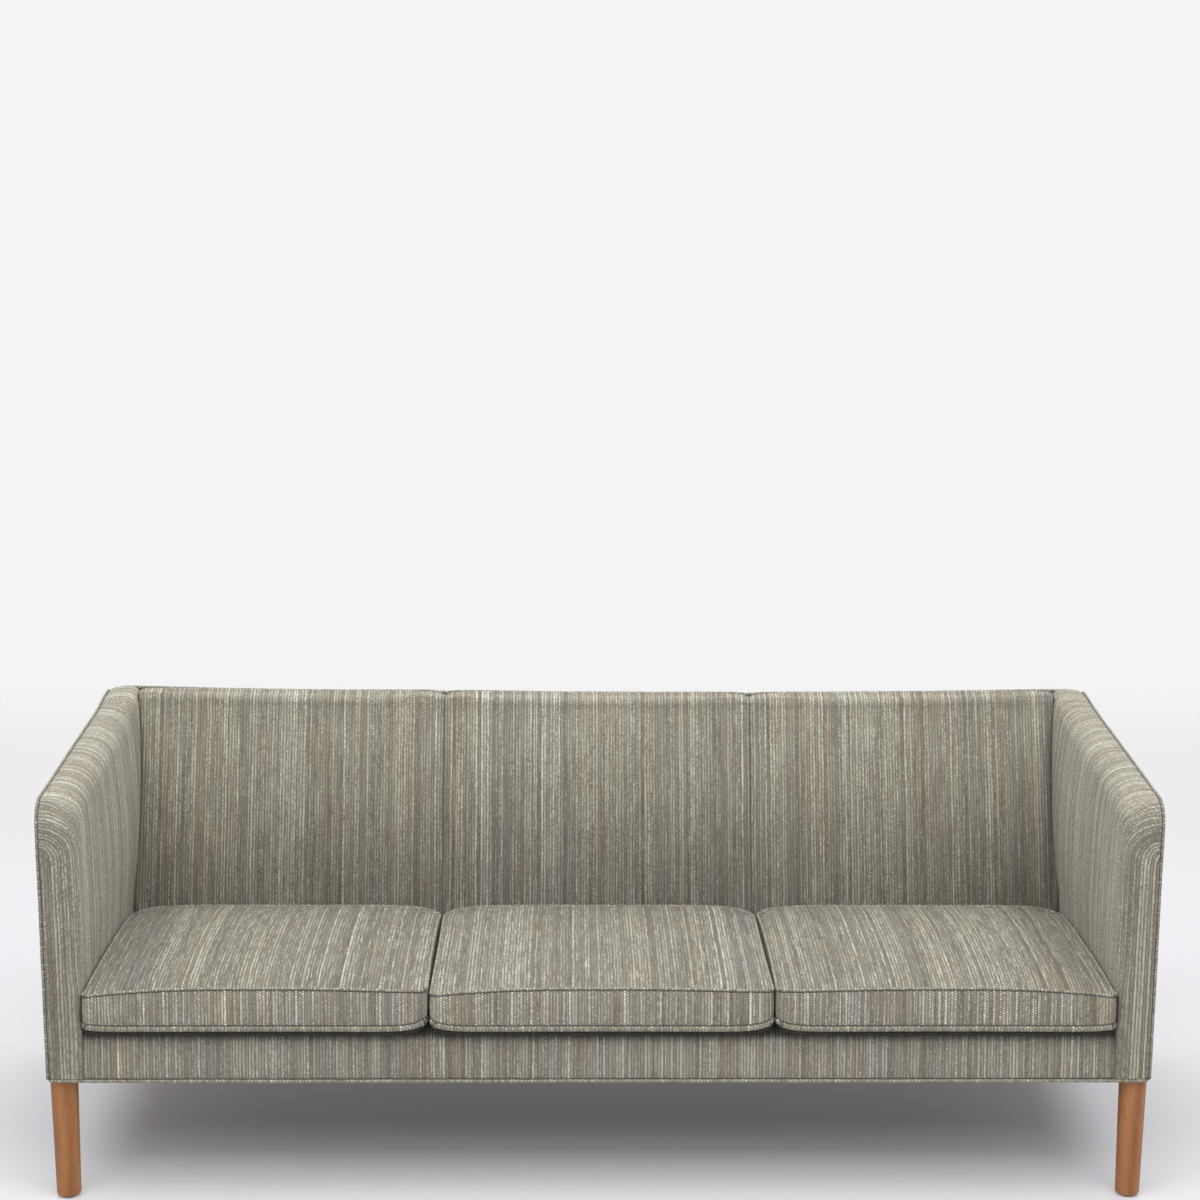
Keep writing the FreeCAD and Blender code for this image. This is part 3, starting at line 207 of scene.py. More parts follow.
class Graph:
    """The nodes of a material or a world, added one by one."""

    def __init__(self, name, blocks=bpy.data.materials, shader="Principled BSDF"):
        self.made = blocks.new(name)
        self.made.use_nodes = True
        self.tree = self.made.node_tree
        self.shader = self.tree.nodes[shader]

    def put(self, socket, value):
        if isinstance(value, bpy.types.NodeSocket):
            self.tree.links.new(value, socket)
        elif value is not None:
            socket.default_value = value

    def add(self, kind, inputs=(), **settings):
        made = self.tree.nodes.new(kind)
        for key, value in settings.items():
            setattr(made, key, value)
        for key, value in dict(inputs).items():
            self.put(made.inputs[key], value)
        return made

    def place(self):
        """The shaded point, in the object's own metres."""
        return self.add("ShaderNodeTexCoord").outputs["Object"]

    def axes(self, place):
        split = self.add("ShaderNodeSeparateXYZ", {"Vector": place})
        return [split.outputs[axis] for axis in "XYZ"]

    def math(self, operation, first, second=None):
        made = self.add("ShaderNodeMath", operation=operation)
        for socket, value in zip(made.inputs, (first, second)):
            self.put(socket, value)
        return made.outputs[0]

    def times(self, first, second):
        return self.math("MULTIPLY", first, second)

    def plus(self, first, second):
        return self.math("ADD", first, second)

    def blend(self, *weighted):
        """The sum of values, each of them times its weight."""
        total = None
        for value, weight in weighted:
            part = self.times(value, weight)
            total = part if total is None else self.plus(total, part)
        return total

    def swing(self, value, amount):
        """A value from 0 to 1, moved to lie about 0 and scaled."""
        return self.times(self.plus(value, -0.5), amount)

    def point(self, x, y, z=0.0):
        return self.add("ShaderNodeCombineXYZ", {"X": x, "Y": y, "Z": z}).outputs[0]

    def noise(self, place, scale, detail=2.0, roughness=0.5):
        made = self.add(
            "ShaderNodeTexNoise",
            {"Vector": place, "Scale": scale, "Detail": detail, "Roughness": roughness},
        )
        return made.outputs["Fac"]

    def streaks(self, *scaled, detail=2.0, roughness=0.5):
        """Noise that is stretched, from two or three places with a scale for each."""
        place = self.point(*(self.times(value, scale) for value, scale in scaled))
        return self.noise(place, 1.0, detail, roughness)

    def random(self, *parts):
        return self.add("ShaderNodeTexWhiteNoise", {"Vector": self.point(*parts)}).outputs["Value"]

    def stretch(self, value, low, high, to_low=0.0, to_high=1.0):
        limits = {"From Min": low, "From Max": high, "To Min": to_low, "To Max": to_high}
        made = self.add(
            "ShaderNodeMapRange", {"Value": value, **limits}, interpolation_type="SMOOTHSTEP"
        )
        return made.outputs["Result"]

    def ramp(self, value, stops):
        made = self.add("ShaderNodeValToRGB", {"Fac": value})
        elements = made.color_ramp.elements
        while len(elements) < len(stops):
            elements.new(0.5)
        for element, (place, colour) in zip(elements, stops):
            element.position = place
            element.color = (*colour, 1.0)
        return made.outputs["Color"]

    def mix(self, share, first, second, blend="MIX"):
        made = self.add("ShaderNodeMix", data_type="RGBA", blend_type=blend)
        self.put(made.inputs[0], share)
        for socket, value in ((made.inputs[6], first), (made.inputs[7], second)):
            self.put(socket, (*value, 1.0) if isinstance(value, tuple) else value)
        return made.outputs[2]

    def bump(self, height, distance, strength=1.0):
        inputs = {"Height": height, "Distance": distance, "Strength": strength}
        return self.add("ShaderNodeBump", inputs).outputs["Normal"]

    def show(self, output, share, first, second):
        """Sends a mix of two shaders to the output."""
        mixed = self.add("ShaderNodeMixShader", {0: share, 1: first, 2: second}).outputs[0]
        self.put(self.tree.nodes[output].inputs["Surface"], mixed)

    def finish(self, colour, roughness, normal=None, **fixed):
        self.put(self.shader.inputs["Base Color"], colour)
        self.put(self.shader.inputs["Roughness"], roughness)
        self.put(self.shader.inputs["Normal"], normal)
        for key, value in fixed.items():
            self.shader.inputs[key.replace("_", " ")].default_value = value
        return self.made


# The weave: zigzag columns of space-dyed yarn over a darker ground.
STRAND = 0.0058
WEFT = 0.0047
YARN_TONES = (
    (0.0, (0.105, 0.09, 0.07)),
    (0.28, (0.19, 0.168, 0.132)),
    (0.48, (0.31, 0.292, 0.235)),
    (0.66, (0.5, 0.495, 0.41)),
    (0.84, (0.72, 0.712, 0.6)),
    (1.0, (0.9, 0.885, 0.76)),
)
GROUND = (0.135, 0.122, 0.1)
GROUND_LIGHT = tuple(value * 1.5 for value in GROUND)
OCHRE = (0.40, 0.29, 0.165)
SLATE = (0.235, 0.27, 0.285)
SAGE = (0.40, 0.44, 0.35)


def woven(name, lightness, contrast, run, seed, warmth, steady=1.0, painted_shade=None):
    """The striped weave. run stretches the dyed lengths of the yarn, warmth is the strength of
    its tints, and steady is how far a column keeps one tone. painted_shade names a direction in
    the cloth, two places that way and the painted shade or light of the cloth at each of them."""
    graph = Graph(name)
    uv = graph.add("ShaderNodeUVMap", uv_map=WEAVE_MAP).outputs["UV"]
    sideways, along, _ = graph.axes(uv)
    across = graph.plus(sideways, seed)
    across = graph.plus(across, graph.swing(graph.streaks((across, 9.0), (along, 6.0)), 0.0025))
    strands = graph.times(across, 1.0 / STRAND)
    strand = graph.math("FLOOR", strands)
    in_strand = graph.math("FRACT", strands)
    column = graph.math("FLOOR", graph.times(strands, 2.0))
    own = graph.random(strand, 3.0)
    fine = graph.random(column, 7.0)
    other = graph.random(strand, 11.0)
    broad = graph.streaks((across, 36.0), (along, 2.2 / run))
    group = graph.streaks((across, 95.0), (along, 7.0 / run))
    dyed = graph.streaks((column, 3.7), (along, 12.0 / run), roughness=0.6)
    drift = graph.streaks((across, 16.0), (along, 5.0))
    flick = graph.streaks((column, 5.3), (along, 60.0), detail=1.0)
    tone = 0.47
    for part, weight in (
        (own, 0.5 * steady),
        (fine, 0.5 * steady),
        (broad, 0.14),
        (group, 0.1),
        (dyed, 0.8 + 0.9 * (1.0 - steady)),
        (flick, 0.35),
    ):
        tone = graph.plus(graph.swing(part, weight * contrast), tone)
    # The two columns of a strand lean to each other, and the next strand is half a stitch off.
    lean = graph.times(graph.math("PINGPONG", strands, 0.5), 0.7)
    wefts = graph.plus(graph.times(along, 1.0 / WEFT), lean)
    wefts = graph.plus(wefts, graph.times(strand, 0.5))
    in_weft = graph.math("FRACT", wefts)
    stitch = graph.random(column, graph.math("FLOOR", wefts), 5.0)
    tone = graph.plus(tone, graph.swing(stitch, 0.3))
    yarn = graph.ramp(tone, YARN_TONES)
    for share, tint in (
        (graph.stretch(other, 0.70, 0.84, 0.0, 0.42 * warmth), OCHRE),
        (graph.stretch(other, 0.30, 0.16, 0.0, 0.42 * warmth), SLATE),
        (graph.stretch(group, 0.5, 0.66, 0.0, 0.3), SAGE),
        (graph.stretch(drift, 0.52, 0.72, 0.0, 0.22 * warmth), OCHRE),
        (graph.stretch(drift, 0.46, 0.28, 0.0, 0.22 * warmth), SLATE),
    ):
        yarn = graph.mix(share, yarn, tint)
    hump_across = graph.math("SINE", graph.times(in_strand, math.pi))
    hump_along = graph.math("SINE", graph.times(in_weft, math.pi))
    hump = graph.times(graph.math("POWER", hump_across, 0.8), hump_along)
    ground = graph.mix(broad, GROUND, GROUND_LIGHT)
    colour = graph.mix(graph.stretch(hump, 0.12, 0.7), ground, yarn)
    # Painted shade and light: the colour is multiplied darker or lighter between two places.
    if painted_shade:
        direction, *shading = painted_shade
        shade_share = graph.stretch({"across": sideways, "along": along}[direction], *shading)
        colour = graph.mix(1.0, colour, graph.point(shade_share, shade_share, shade_share), "MULTIPLY")
    colour = graph.mix(1.0, colour, (lightness, lightness, lightness), "MULTIPLY")
    fuzz = graph.noise(graph.point(across, along), 2600.0)
    return graph.finish(
        colour,
        graph.stretch(fuzz, 0.2, 0.8, 0.82, 0.98),
        graph.bump(graph.plus(hump, graph.times(fuzz, 0.3)), 0.0006, 0.8),
        Specular_IOR_Level=0.15,
        Sheen_Weight=0.15,
        Sheen_Roughness=0.5,
        Sheen_Tint=(0.93, 0.95, 0.9, 1.0),
    )


def plain_cloth(name, colour, darker, pitch):
    """An unstriped cloth with a plain over-and-under weave."""
    graph = Graph(name)
    place = graph.place()
    x, y, z = graph.axes(place)
    steps = 2 * math.pi / pitch
    rows = graph.math("SINE", graph.blend((y, steps), (z, steps)))
    threads = graph.times(graph.math("SINE", graph.times(x, steps)), rows)
    share = graph.blend((threads, 0.3), (graph.noise(place, 40.0, 4.0), 0.7))
    tone = graph.mix(graph.stretch(share, 0.1, 0.8), darker, colour)
    return graph.finish(tone, 0.9, graph.bump(threads, 0.0004), Sheen_Weight=0.1)


OAK_TONES = (
    (0.2, (0.262, 0.093, 0.029)),
    (0.45, (0.376, 0.151, 0.051)),
    (0.65, (0.452, 0.199, 0.075)),
    (0.9, (0.545, 0.262, 0.11)),
)
OAK_PORE = (0.2, 0.08, 0.03)
BEECH_TONES = ((0.25, (0.46, 0.28, 0.15)), (0.7, (0.64, 0.45, 0.28)))


def oiled_oak(name):
    """Oak whose grain runs up the leg."""
    graph = Graph(name)
    x, y, z = graph.axes(graph.place())
    bend = graph.streaks((x, 9.0), (y, 9.0), (z, 3.5))
    ring = graph.math("SINE", graph.blend((x, 210.0), (bend, 7.0), (y, 60.0)))
    fibre = graph.streaks((x, 900.0), (y, 900.0), (z, 22.0), detail=3.0)
    pores = graph.streaks((x, 1500.0), (y, 1500.0), (z, 60.0), detail=1.0)
    clouds = graph.streaks((x, 30.0), (y, 30.0), (z, 7.0), detail=3.0)
    colour = graph.ramp(graph.blend((ring, 0.13), (fibre, 0.6), (clouds, 0.35)), OAK_TONES)
    pore = graph.stretch(pores, 0.62, 0.72, 0.0, 0.45)
    colour = graph.mix(pore, colour, OAK_PORE)
    roughness = graph.stretch(clouds, 0.3, 0.7, 0.42, 0.55)
    normal = graph.bump(graph.blend((fibre, 0.6), (pore, -0.6)), 0.0002, 0.6)
    return graph.finish(colour, roughness, normal, Specular_IOR_Level=0.4)


def planed_beech(name):
    """Beech whose grain runs along the rails."""
    graph = Graph(name)
    place = graph.place()
    x, y, z = graph.axes(place)
    grain = graph.streaks((x, 12.0), (y, 160.0), (z, 160.0), detail=4.0)
    flecks = graph.noise(place, 900.0, 1.0)
    colour = graph.ramp(graph.blend((grain, 0.8), (flecks, 0.2)), BEECH_TONES)
    return graph.finish(colour, 0.6, graph.bump(grain, 0.0003, 0.5))


def moulded(name, colour, roughness):
    """A plain moulded or pressed material with a fine grain."""
    graph = Graph(name)
    place = graph.place()
    grain = graph.noise(place, 1800.0)
    marks = graph.noise(place, 60.0, 3.0)
    lighter = tuple(min(value * 1.35 + 0.01, 1.0) for value in colour)
    tone = graph.mix(graph.stretch(marks, 0.3, 0.75), colour, lighter)
    return graph.finish(tone, roughness, graph.bump(grain, 0.0001, 0.5))


# Each cover's lightness, contrast, run, seed, warmth and steadiness, and where shade is painted
# into it: the arms darker on their front faces, the back darker at its foot and lighter at its top,
# and the border darker along its top, for the shadow that the cushions throw on it.
# Painted shade: the arms are darker on their front faces than on their inner faces.
ARM_FRONT_SHADE = ("across", 0.035, 0.1, 0.84, 1.0)
# Painted shade and light: the back is darker at its foot above the seat and lighter at its top.
BACK_PAINTED_SHADE = ("along", 0.5, 1.06, 0.66, 1.15)
# Painted shadow: the border is darker along its top, where the cushions shade it.
BORDER_PAINTED_SHADOW = ("along", -0.060, -0.040, 1.0, 0.26)
# Painted light and shade: each cover's lightness is set apart, so the covers are lit and shaded
# copies of one cloth.
WEAVE = {
    name: woven(name + "_weave", *settings)
    for name, settings in {
        "left_arm": (1.32, 0.7, 1.4, 0.31, 0.4, 0.85, ARM_FRONT_SHADE),
        "right_arm": (1.32, 0.7, 1.4, 1.63, 0.4, 0.85, ARM_FRONT_SHADE),
        "outside": (1.32, 0.76, 1.4, 4.31, 0.4),
        "seat": (0.92, 1.2, 0.7, 1.77, 0.75, 0.55),
        "box": (1.2, 0.9, 1.3, 1.77, 0.8, 0.8),
        "back": (1.06, 0.86, 1.3, 3.13, 0.7, 0.66, BACK_PAINTED_SHADE),
        "border": (1.12, 0.8, 1.4, 5.21, 0.8, 0.8, BORDER_PAINTED_SHADOW),
        "cord": (1.2, 0.45, 0.3, 7.7, 0.4),
        "low_cord": (1.16, 0.5, 0.3, 8.9, 0.6),
    }.items()
}
# Dark cords for seams, which also paint the shade of the crevices beside the piping and in the
# folds.
SEAM_SHADE_CORD = moulded("seam_shadow", (0.075, 0.068, 0.055), 0.95)
# Painted shadow: a near-black cord under each cushion's lower piping stands for the shadow there.
PAINTED_SHADOW_CORD = moulded("under_piping_painted_shadow", (0.012, 0.011, 0.009), 0.95)
LEG_OAK = oiled_oak("leg_oak")
GLIDE = moulded("glide_black", (0.03, 0.028, 0.026), 0.55)
BEECH = planed_beech("frame_beech")
WEBBING = plain_cloth("jute_webbing", (0.42, 0.33, 0.2), (0.2, 0.14, 0.08), 0.002)
HESSIAN = plain_cloth("hessian", (0.5, 0.4, 0.26), (0.25, 0.18, 0.11), 0.0022)
DUST = plain_cloth("dust_cloth", (0.035, 0.034, 0.033), (0.015, 0.015, 0.015), 0.0015)
DECK = plain_cloth("deck_cloth", (0.3, 0.28, 0.23), (0.17, 0.155, 0.125), 0.0018)
FOAM = moulded("foam", (0.72, 0.64, 0.42), 0.9)


# Padding in general


def ripple(point, size, amount, seed=0.0):
    """Slow unevenness of stuffed fabric."""
    return noise.noise(Vector(point) * (1.0 / size) + Vector((seed, seed, seed))) * amount


# The padding stands higher towards the two rear corners of the sofa, is fuller along the left
# half of the back's top edge, and dips where the two channels are sewn, at CHANNEL from the middle.
CORNER_LIFT = {-1: 0.0115, 1: 0.008}
CHANNEL = 0.3102
CHANNEL_DIP = 0.0026
FULLER = (0.0012, 0.0032)


def raised(point):
    """A point of the covers or piping, lifted with the padding along the top and rear."""
    share = min(abs(point.x) / 0.93, 1.0) ** 2.2 * smooth(point.y, 0.24, 0.35)
    share *= smooth(point.z, 0.68, 0.75) * (1.0 - 0.6 * smooth(abs(point.x), 0.965, 0.999))
    lift = CORNER_LIFT[-1 if point.x < 0 else 1] * share
    fuller = FULLER[0] + FULLER[1] * math.exp(-(((point.x + CHANNEL) / 0.18) ** 2))
    fuller *= 1.0 - smooth(point.x, 0.25, 0.5)
    dip = CHANNEL_DIP * math.exp(-(((abs(point.x) - CHANNEL) / 0.02) ** 2))
    lift += (fuller - dip) * smooth(point.y, 0.24, 0.33) * smooth(point.z, 0.68, 0.75)
    return point + Vector((0.0, 0.0, lift))


def roll(radius, distance):
    """How far a rounded edge falls away, at a distance from its end."""
    rest = min(max(radius - distance, 0.0), radius)
    return radius - math.sqrt(radius * radius - rest * rest)


# Arms

ARM_LOW = 0.2385
ARM_SHOULDER = 0.70
ROLL_TOP = 0.048
ROLL_FRONT = 0.037
ROLL_CORNER = 0.045
SWELL_FOOT = 0.385
# How far the inner face swells in front and at the rear.
SWELL = (0.002, 0.0098)
SPRING = 0.105
NOSE_FULL = 0.0012
ARM_CREST_DIP = 0.0016
UNEVEN_FROM = 0.43


def arm_bulge(z, shoulder, swell):
    """How far the inner face swells at a height."""
    share = min(max((z - SWELL_FOOT) / (shoulder - SWELL_FOOT), 0.0), 1.0)
    return swell * math.sin(math.pi * share) if share > 0 else 0.0


def arm_section(distance):
    """Points of the right arm's cover, from the foot of its inner face to its outer edge."""
    y = FRONT + distance
    top = TOP - roll(ROLL_CORNER, distance)
    inset = roll(ROLL_FRONT, distance)
    thick = OUTER - ARM_INNER - inset
    flatter = 1.0 - 0.62 * smooth(y, 0.23, 0.34)
    fall = ROLL_TOP * flatter * thick / (OUTER - ARM_INNER)
    shoulder = top - fall
    swell = SWELL[0] + (SWELL[1] - SWELL[0]) * smooth(distance, -0.05, 0.55)
    points = []
    for z in spaced(ARM_LOW, ARM_SHOULDER, 0.011):
        z = ARM_LOW + (shoulder - ARM_LOW) * (z - ARM_LOW) / (ARM_SHOULDER - ARM_LOW)
        # Below and beside the cushions the nose is flatter.
        kept = inset * (0.06 + 0.16 * smooth(z, 0.333, 0.35) + 0.78 * smooth(z, 0.395, 0.46))
        points.append(Vector((ARM_INNER + kept - arm_bulge(z, shoulder, swell), y, z)))
    inner = ARM_INNER + inset
    points += [Vector((x, y, z)) for x, z in rounded(inner, shoulder, fall, fall, 10)]
    start = inner + fall
    for share in (0.3, 0.6, 0.8, 0.92, 1.0):
        dip = ARM_CREST_DIP * smooth(share, 0.55, 1.0)
        points.append(Vector((start + (OUTER - start) * share, y, top - dip)))
    return points


def quarter(first, second, radius, reach):
    """Length along a face, round its rounded edge and on along the next face."""
    flat = reach - radius
    if second >= radius:
        return flat + radius * math.pi / 2 + second - radius
    if first <= flat:
        return first
    return flat + radius * math.atan2(first - flat, radius - second)


def arm_weave(point, normal):
    """The stripes of an arm run up its faces and bend over its top to the outer edge."""
    inward = min(max(OUTER - abs(point.x), 0.0), OUTER - ARM_INNER)
    deep = max(point.y - FRONT, 0.0)
    lift = point.z - (TOP - SPRING)
    around = quarter(inward, deep, ROLL_FRONT, OUTER - ARM_INNER)
    if lift <= 0:
        return (around, lift - inward)
    over = quarter(min(lift, SPRING), deep, ROLL_CORNER, SPRING)
    turned = max(normal.z, 0.0) ** 2
    share = smooth(turned / (turned + normal.x * normal.x + 1e-6), 0.0, 1.0)
    low = math.hypot(around, lift)
    high = math.hypot(inward, over)
    return (low + (high - low) * share, lift - inward)


def make_arm(side, sign):
    distances = [0.0] + [ROLL_CORNER * (1 - math.cos(angle)) for angle in turns(9)]
    distances += spaced(ROLL_CORNER, REAR - FRONT, 0.012)[1:]
    rows = [arm_section(distance) for distance in distances]
    columns = len(rows[0])
    low, high = rows[0][0].z, rows[0][-1].z
    cap = []
    for share in (1.0, 0.8, 0.6, 0.4, 0.2):
        full = NOSE_FULL * smooth(share, 0.6, 1.0)
        row = []
        for index, point in enumerate(rows[0]):
            z = low + (high - low) * index / (columns - 1)
            row.append(point.lerp(Vector((OUTER, FRONT + full, z)), share))
        cap.append(row)
    points = []
    for point in sum(cap + rows, []):
        uneven = 0.0
        if point.z > UNEVEN_FROM:
            uneven = ripple(point, 0.16, 0.0014, sign * 3.0)
            uneven *= smooth(OUTER - point.x, 0.004, 0.03)
        moved = point - X * uneven
        points.append(raised(Vector((moved.x * sign, moved.y, moved.z))))
    faces = grid_faces(len(cap) + len(rows), columns)
    if sign > 0:
        faces = flipped(faces)
    unplaced = [[(0.0, 0.0)] * 4] * len(faces)
    piece = build(side + "_arm_cover", points, faces, unplaced, WEAVE[side + "_arm"], levels=1)
    mesh = piece.data
    normals = [vertex.normal.copy() for vertex in mesh.vertices]
    at = [arm_weave(point, normal) for point, normal in zip(points, normals)]
    for loop in mesh.loops:
        mesh.uv_layers[0].data[loop.index].uv = at[loop.vertex_index]
    declare(piece, "upholstery", side + "_arm_pad", fill=0.8)


for side_name, side_sign in SIDES:
    make_arm(side_name, side_sign)


# Outside covers of the arms and the back

PANEL_GAP = 0.0012
PANEL_BULGE = 0.002
REAR_ROLL = 0.014


def make_panel(name, node, sign, material, weave):
    """A stretched outside cover, slightly pillowed between its edges: an arm's on the side that
    the sign gives, or with a sign of 0 the back's."""
    low, high = ((corner.y if sign else corner.x, corner.z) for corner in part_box(node))

    def shape(run, z):
        if sign:
            fall = roll(ROLL_CORNER - CORD, run - FRONT - 0.004)
        else:
            fall = roll(REAR_ROLL, OUTER - abs(run))
        level = low[1] + (z - low[1]) * (high[1] - fall - low[1]) / (high[1] - low[1])
        flat = (sign, run, level) if sign else (run, 9.0, level)
        out = PANEL_BULGE * pillow((run, z), low, high, 0.6)
        out += PANEL_GAP + ripple(flat, 0.2, 0.0008)
        if sign:
            return raised(Vector((sign * (OUTER + out), run, level)))
        return raised(Vector((run, REAR + out, level)))

    rows, columns = (spaced(first, last, 0.02) for first, last in zip(low, high))
    piece = sheet(name, rows, columns, shape, weave, material, turned=sign <= 0)
    declare(piece, "outside_cover", node, fill=0.3)


def side_weave(point):
    return (point.y + 4.0, point.z)


def rear_weave(point):
    return (point.x + 8.0, point.z)


for side_name, side_sign in SIDES:
    names = (side_name + "_outside_cover", side_name + "_outside_arm")
    make_panel(*names, side_sign, WEAVE["outside"], side_weave)
make_panel("back_outside_cover", "outside_back", 0, WEAVE["back"], rear_weave)

# Cloth

CLOTH_FRAMES = 20
CLOTH = {
    "quality": 6,
    "mass": 0.3,
    "tension_stiffness": 25.0,
    "compression_stiffness": 25.0,
    "shear_stiffness": 8.0,
    "bending_stiffness": 1.5,
    "use_pressure": True,
    "uniform_pressure_force": 4.0,
    "vertex_group_mass": "held",
}


def puff(piece, held, cap):
    """Swells a cover by cloth simulation. held gives weights, each with the points that it ties
    to their places, and no point moves further than cap."""
    group = piece.vertex_groups.new(name="held")
    for weight, indices in held:
        group.add(indices, weight, "REPLACE")
    finer = [modifier for modifier in piece.modifiers if modifier.type == "SUBSURF"]
    for modifier in finer:
        modifier.show_viewport = False
    cloth = piece.modifiers.new("Cloth", "CLOTH")
    piece.modifiers.move(len(piece.modifiers) - 1, 0)
    for key, value in CLOTH.items():
        setattr(cloth.settings, key, value)
    cloth.settings.effector_weights.gravity = 0.0
    for number in range(1, CLOTH_FRAMES + 1):
        SCENE.frame_set(number)
    swollen = piece.evaluated_get(bpy.context.evaluated_depsgraph_get())
    moved = [vertex.co.copy() for vertex in swollen.to_mesh().vertices]
    swollen.to_mesh_clear()
    piece.modifiers.remove(cloth)
    SCENE.frame_set(1)
    for vertex, after in zip(piece.data.vertices, moved):
        step = after - vertex.co
        if step.length > cap:
            step *= cap / step.length
        vertex.co = vertex.co + step
    piece.vertex_groups.clear()
    for modifier in finer:
        modifier.show_viewport = True
    piece.data.update()


# Back

BACK_END = 0.931
BACK_FOOT = (0.177, 0.2935)
BACK_SEAT = (0.182, 0.355)
BACK_HEAD = (0.336, 0.738)
BACK_ROLL = 0.022
BACK_CROWN = 0.006
BACK_TUCK = 0.014
BACK_TUCK_DEPTH = 0.005
BACK_SHOULDER = 0.735
BACK_CREASE = 0.010
BACK_PUFF = 0.006
FOLD_OUT = 0.0006
FOLD_INTO_ARM = 0.0004
FOLD_HEIGHTS = (0.36, 0.752)
ARM_FOLD = 0.0017
CHANNEL_FOLD = 0.0009


def back_profile(depth):
    """The back's face from its foot to its rear edge, as (y, z), drawn in by depth."""
    (foot_y, foot_z), (seat_y, seat_z), (head_y, head_z) = BACK_FOOT, BACK_SEAT, BACK_HEAD
    points = []
    for share in (0.0, 0.25, 0.5, 0.75):
        points.append((foot_y + (seat_y - foot_y) * share, foot_z + (seat_z - foot_z) * share))
    for share in spaced(0.0, 1.0, 0.026):
        y = seat_y + (head_y - seat_y) * share - BACK_CROWN * rise(share)
        points.append((y, seat_z + (head_z - seat_z) * share))
    points += rounded(head_y, head_z, BACK_ROLL, BACK_ROLL, 7)
    start = head_y + BACK_ROLL
    for share in (0.35, 0.7, 0.88, 1.0):
        points.append((start + (REAR - start) * share, TOP - 0.0004 * smooth(share, 0.6, 1.0)))
    return [
        (y + depth * (1 - smooth(z, 0.73, 0.77)), z - depth * smooth(z, 0.735, 0.765))
        for y, z in points
    ]


def channel_fall(x):
    """How deep the cover lies at x, near a sewn channel or an end."""
    if abs(x) < CHANNEL:
        half = CHANNEL
        gap = CHANNEL - abs(x)
    else:
        half = (BACK_END - CHANNEL) / 2
        gap = min(abs(x) - CHANNEL, BACK_END - abs(x))
    return 0.0055 * math.exp(-gap / 0.0045) + 0.0035 * (1 - smooth(gap / half, 0.0, 0.4))


def up_and_over(point):
    """Stripes that run up a front face and on towards the rear."""
    return (point.x, point.z + point.y)


def back_ripple(x, z):
    return ripple((x, 0, z), 0.19, 0.0016, 5.0)


def back_crease(z):
    """Depth of the crease between the back and an arm, which fades out below the top."""
    return BACK_CREASE * (1 - smooth(z, 0.72, 0.755))


def make_back():
    fine = (0.0, 0.0022, 0.005, 0.009, 0.015, 0.023)
    places = []
    for low, high in ((-BACK_END, -CHANNEL), (-CHANNEL, CHANNEL), (CHANNEL, BACK_END)):
        bay = [low + gap for gap in fine]
        bay += spaced(low + 0.034, high - 0.034, 0.012)
        bay += [high - gap for gap in reversed(fine)]
        places += bay if not places else bay[1:]
    places = [-BACK_END - BACK_TUCK] + places + [BACK_END + BACK_TUCK]
    points = []
    for x in places:
        tuck = BACK_TUCK_DEPTH if abs(x) > BACK_END + 1e-6 else 0.0
        for y, z in back_profile(channel_fall(min(abs(x), BACK_END)) + tuck):
            gap = ARM_INNER - arm_bulge(z, BACK_SHOULDER, SWELL[1]) - abs(x)
            crease = back_crease(z) * math.exp(-max(gap, 0.0) / 0.009)
            points.append(raised(Vector((x, y + crease + back_ripple(x, z), z))))
    columns = len(points) // len(places)
    faces = grid_faces(len(places), columns)
    at = placed(points, faces, up_and_over)
    piece = build("back_cover", points, faces, at, WEAVE["back"], levels=1)
    held = []
    for index, x in enumerate(places):
        line = list(range(index * columns, (index + 1) * columns))
        sewn = abs(abs(x) - CHANNEL) < 1e-5 or abs(x) > BACK_END - 1e-5
        held += line if sewn else line[:4] + line[-3:]
    puff(piece, [(1.0, held)], BACK_PUFF)
    declare(piece, "upholstery", "back_pad", fill=0.7)


def make_fold(name, x, at_arm, radius):
    """A dark cord in a sewn channel, or in the tight fold between an arm and the back: painted
    shade of the channel's groove, with its stitching, or of the fold.
    """
    path = []
    for y, z in back_profile(channel_fall(abs(x))):
        if FOLD_HEIGHTS[0] < z < FOLD_HEIGHTS[1]:
            deep = back_ripple(x, z) - FOLD_OUT
            bulge = 0.0
            if at_arm:
                bulge = arm_bulge(z, BACK_SHOULDER, SWELL[1]) - FOLD_INTO_ARM
                deep += back_crease(z)
            path.append(raised(Vector((x - math.copysign(bulge, x), y + deep, z))))
    declare(tube(name, path, radius, SEAM_SHADE_CORD, X, False, 8), "piping")


make_back()
for side_name, side_sign in SIDES:
    make_fold(side_name + "_back_seam", side_sign * BACK_END, True, ARM_FOLD)
    make_fold(side_name + "_channel_seam", side_sign * CHANNEL, False, CHANNEL_FOLD)

# Border under the cushions, with its middle seam

BORDER_TOP = 0.3321
BORDER_ROUND = 0.024
BORDER_LEAN = 0.0075
BORDER_FULL = 0.0012
MIDDLE_SEAM = (0.0028, 0.0022)
END_SEAM = (0.0008, 0.002)


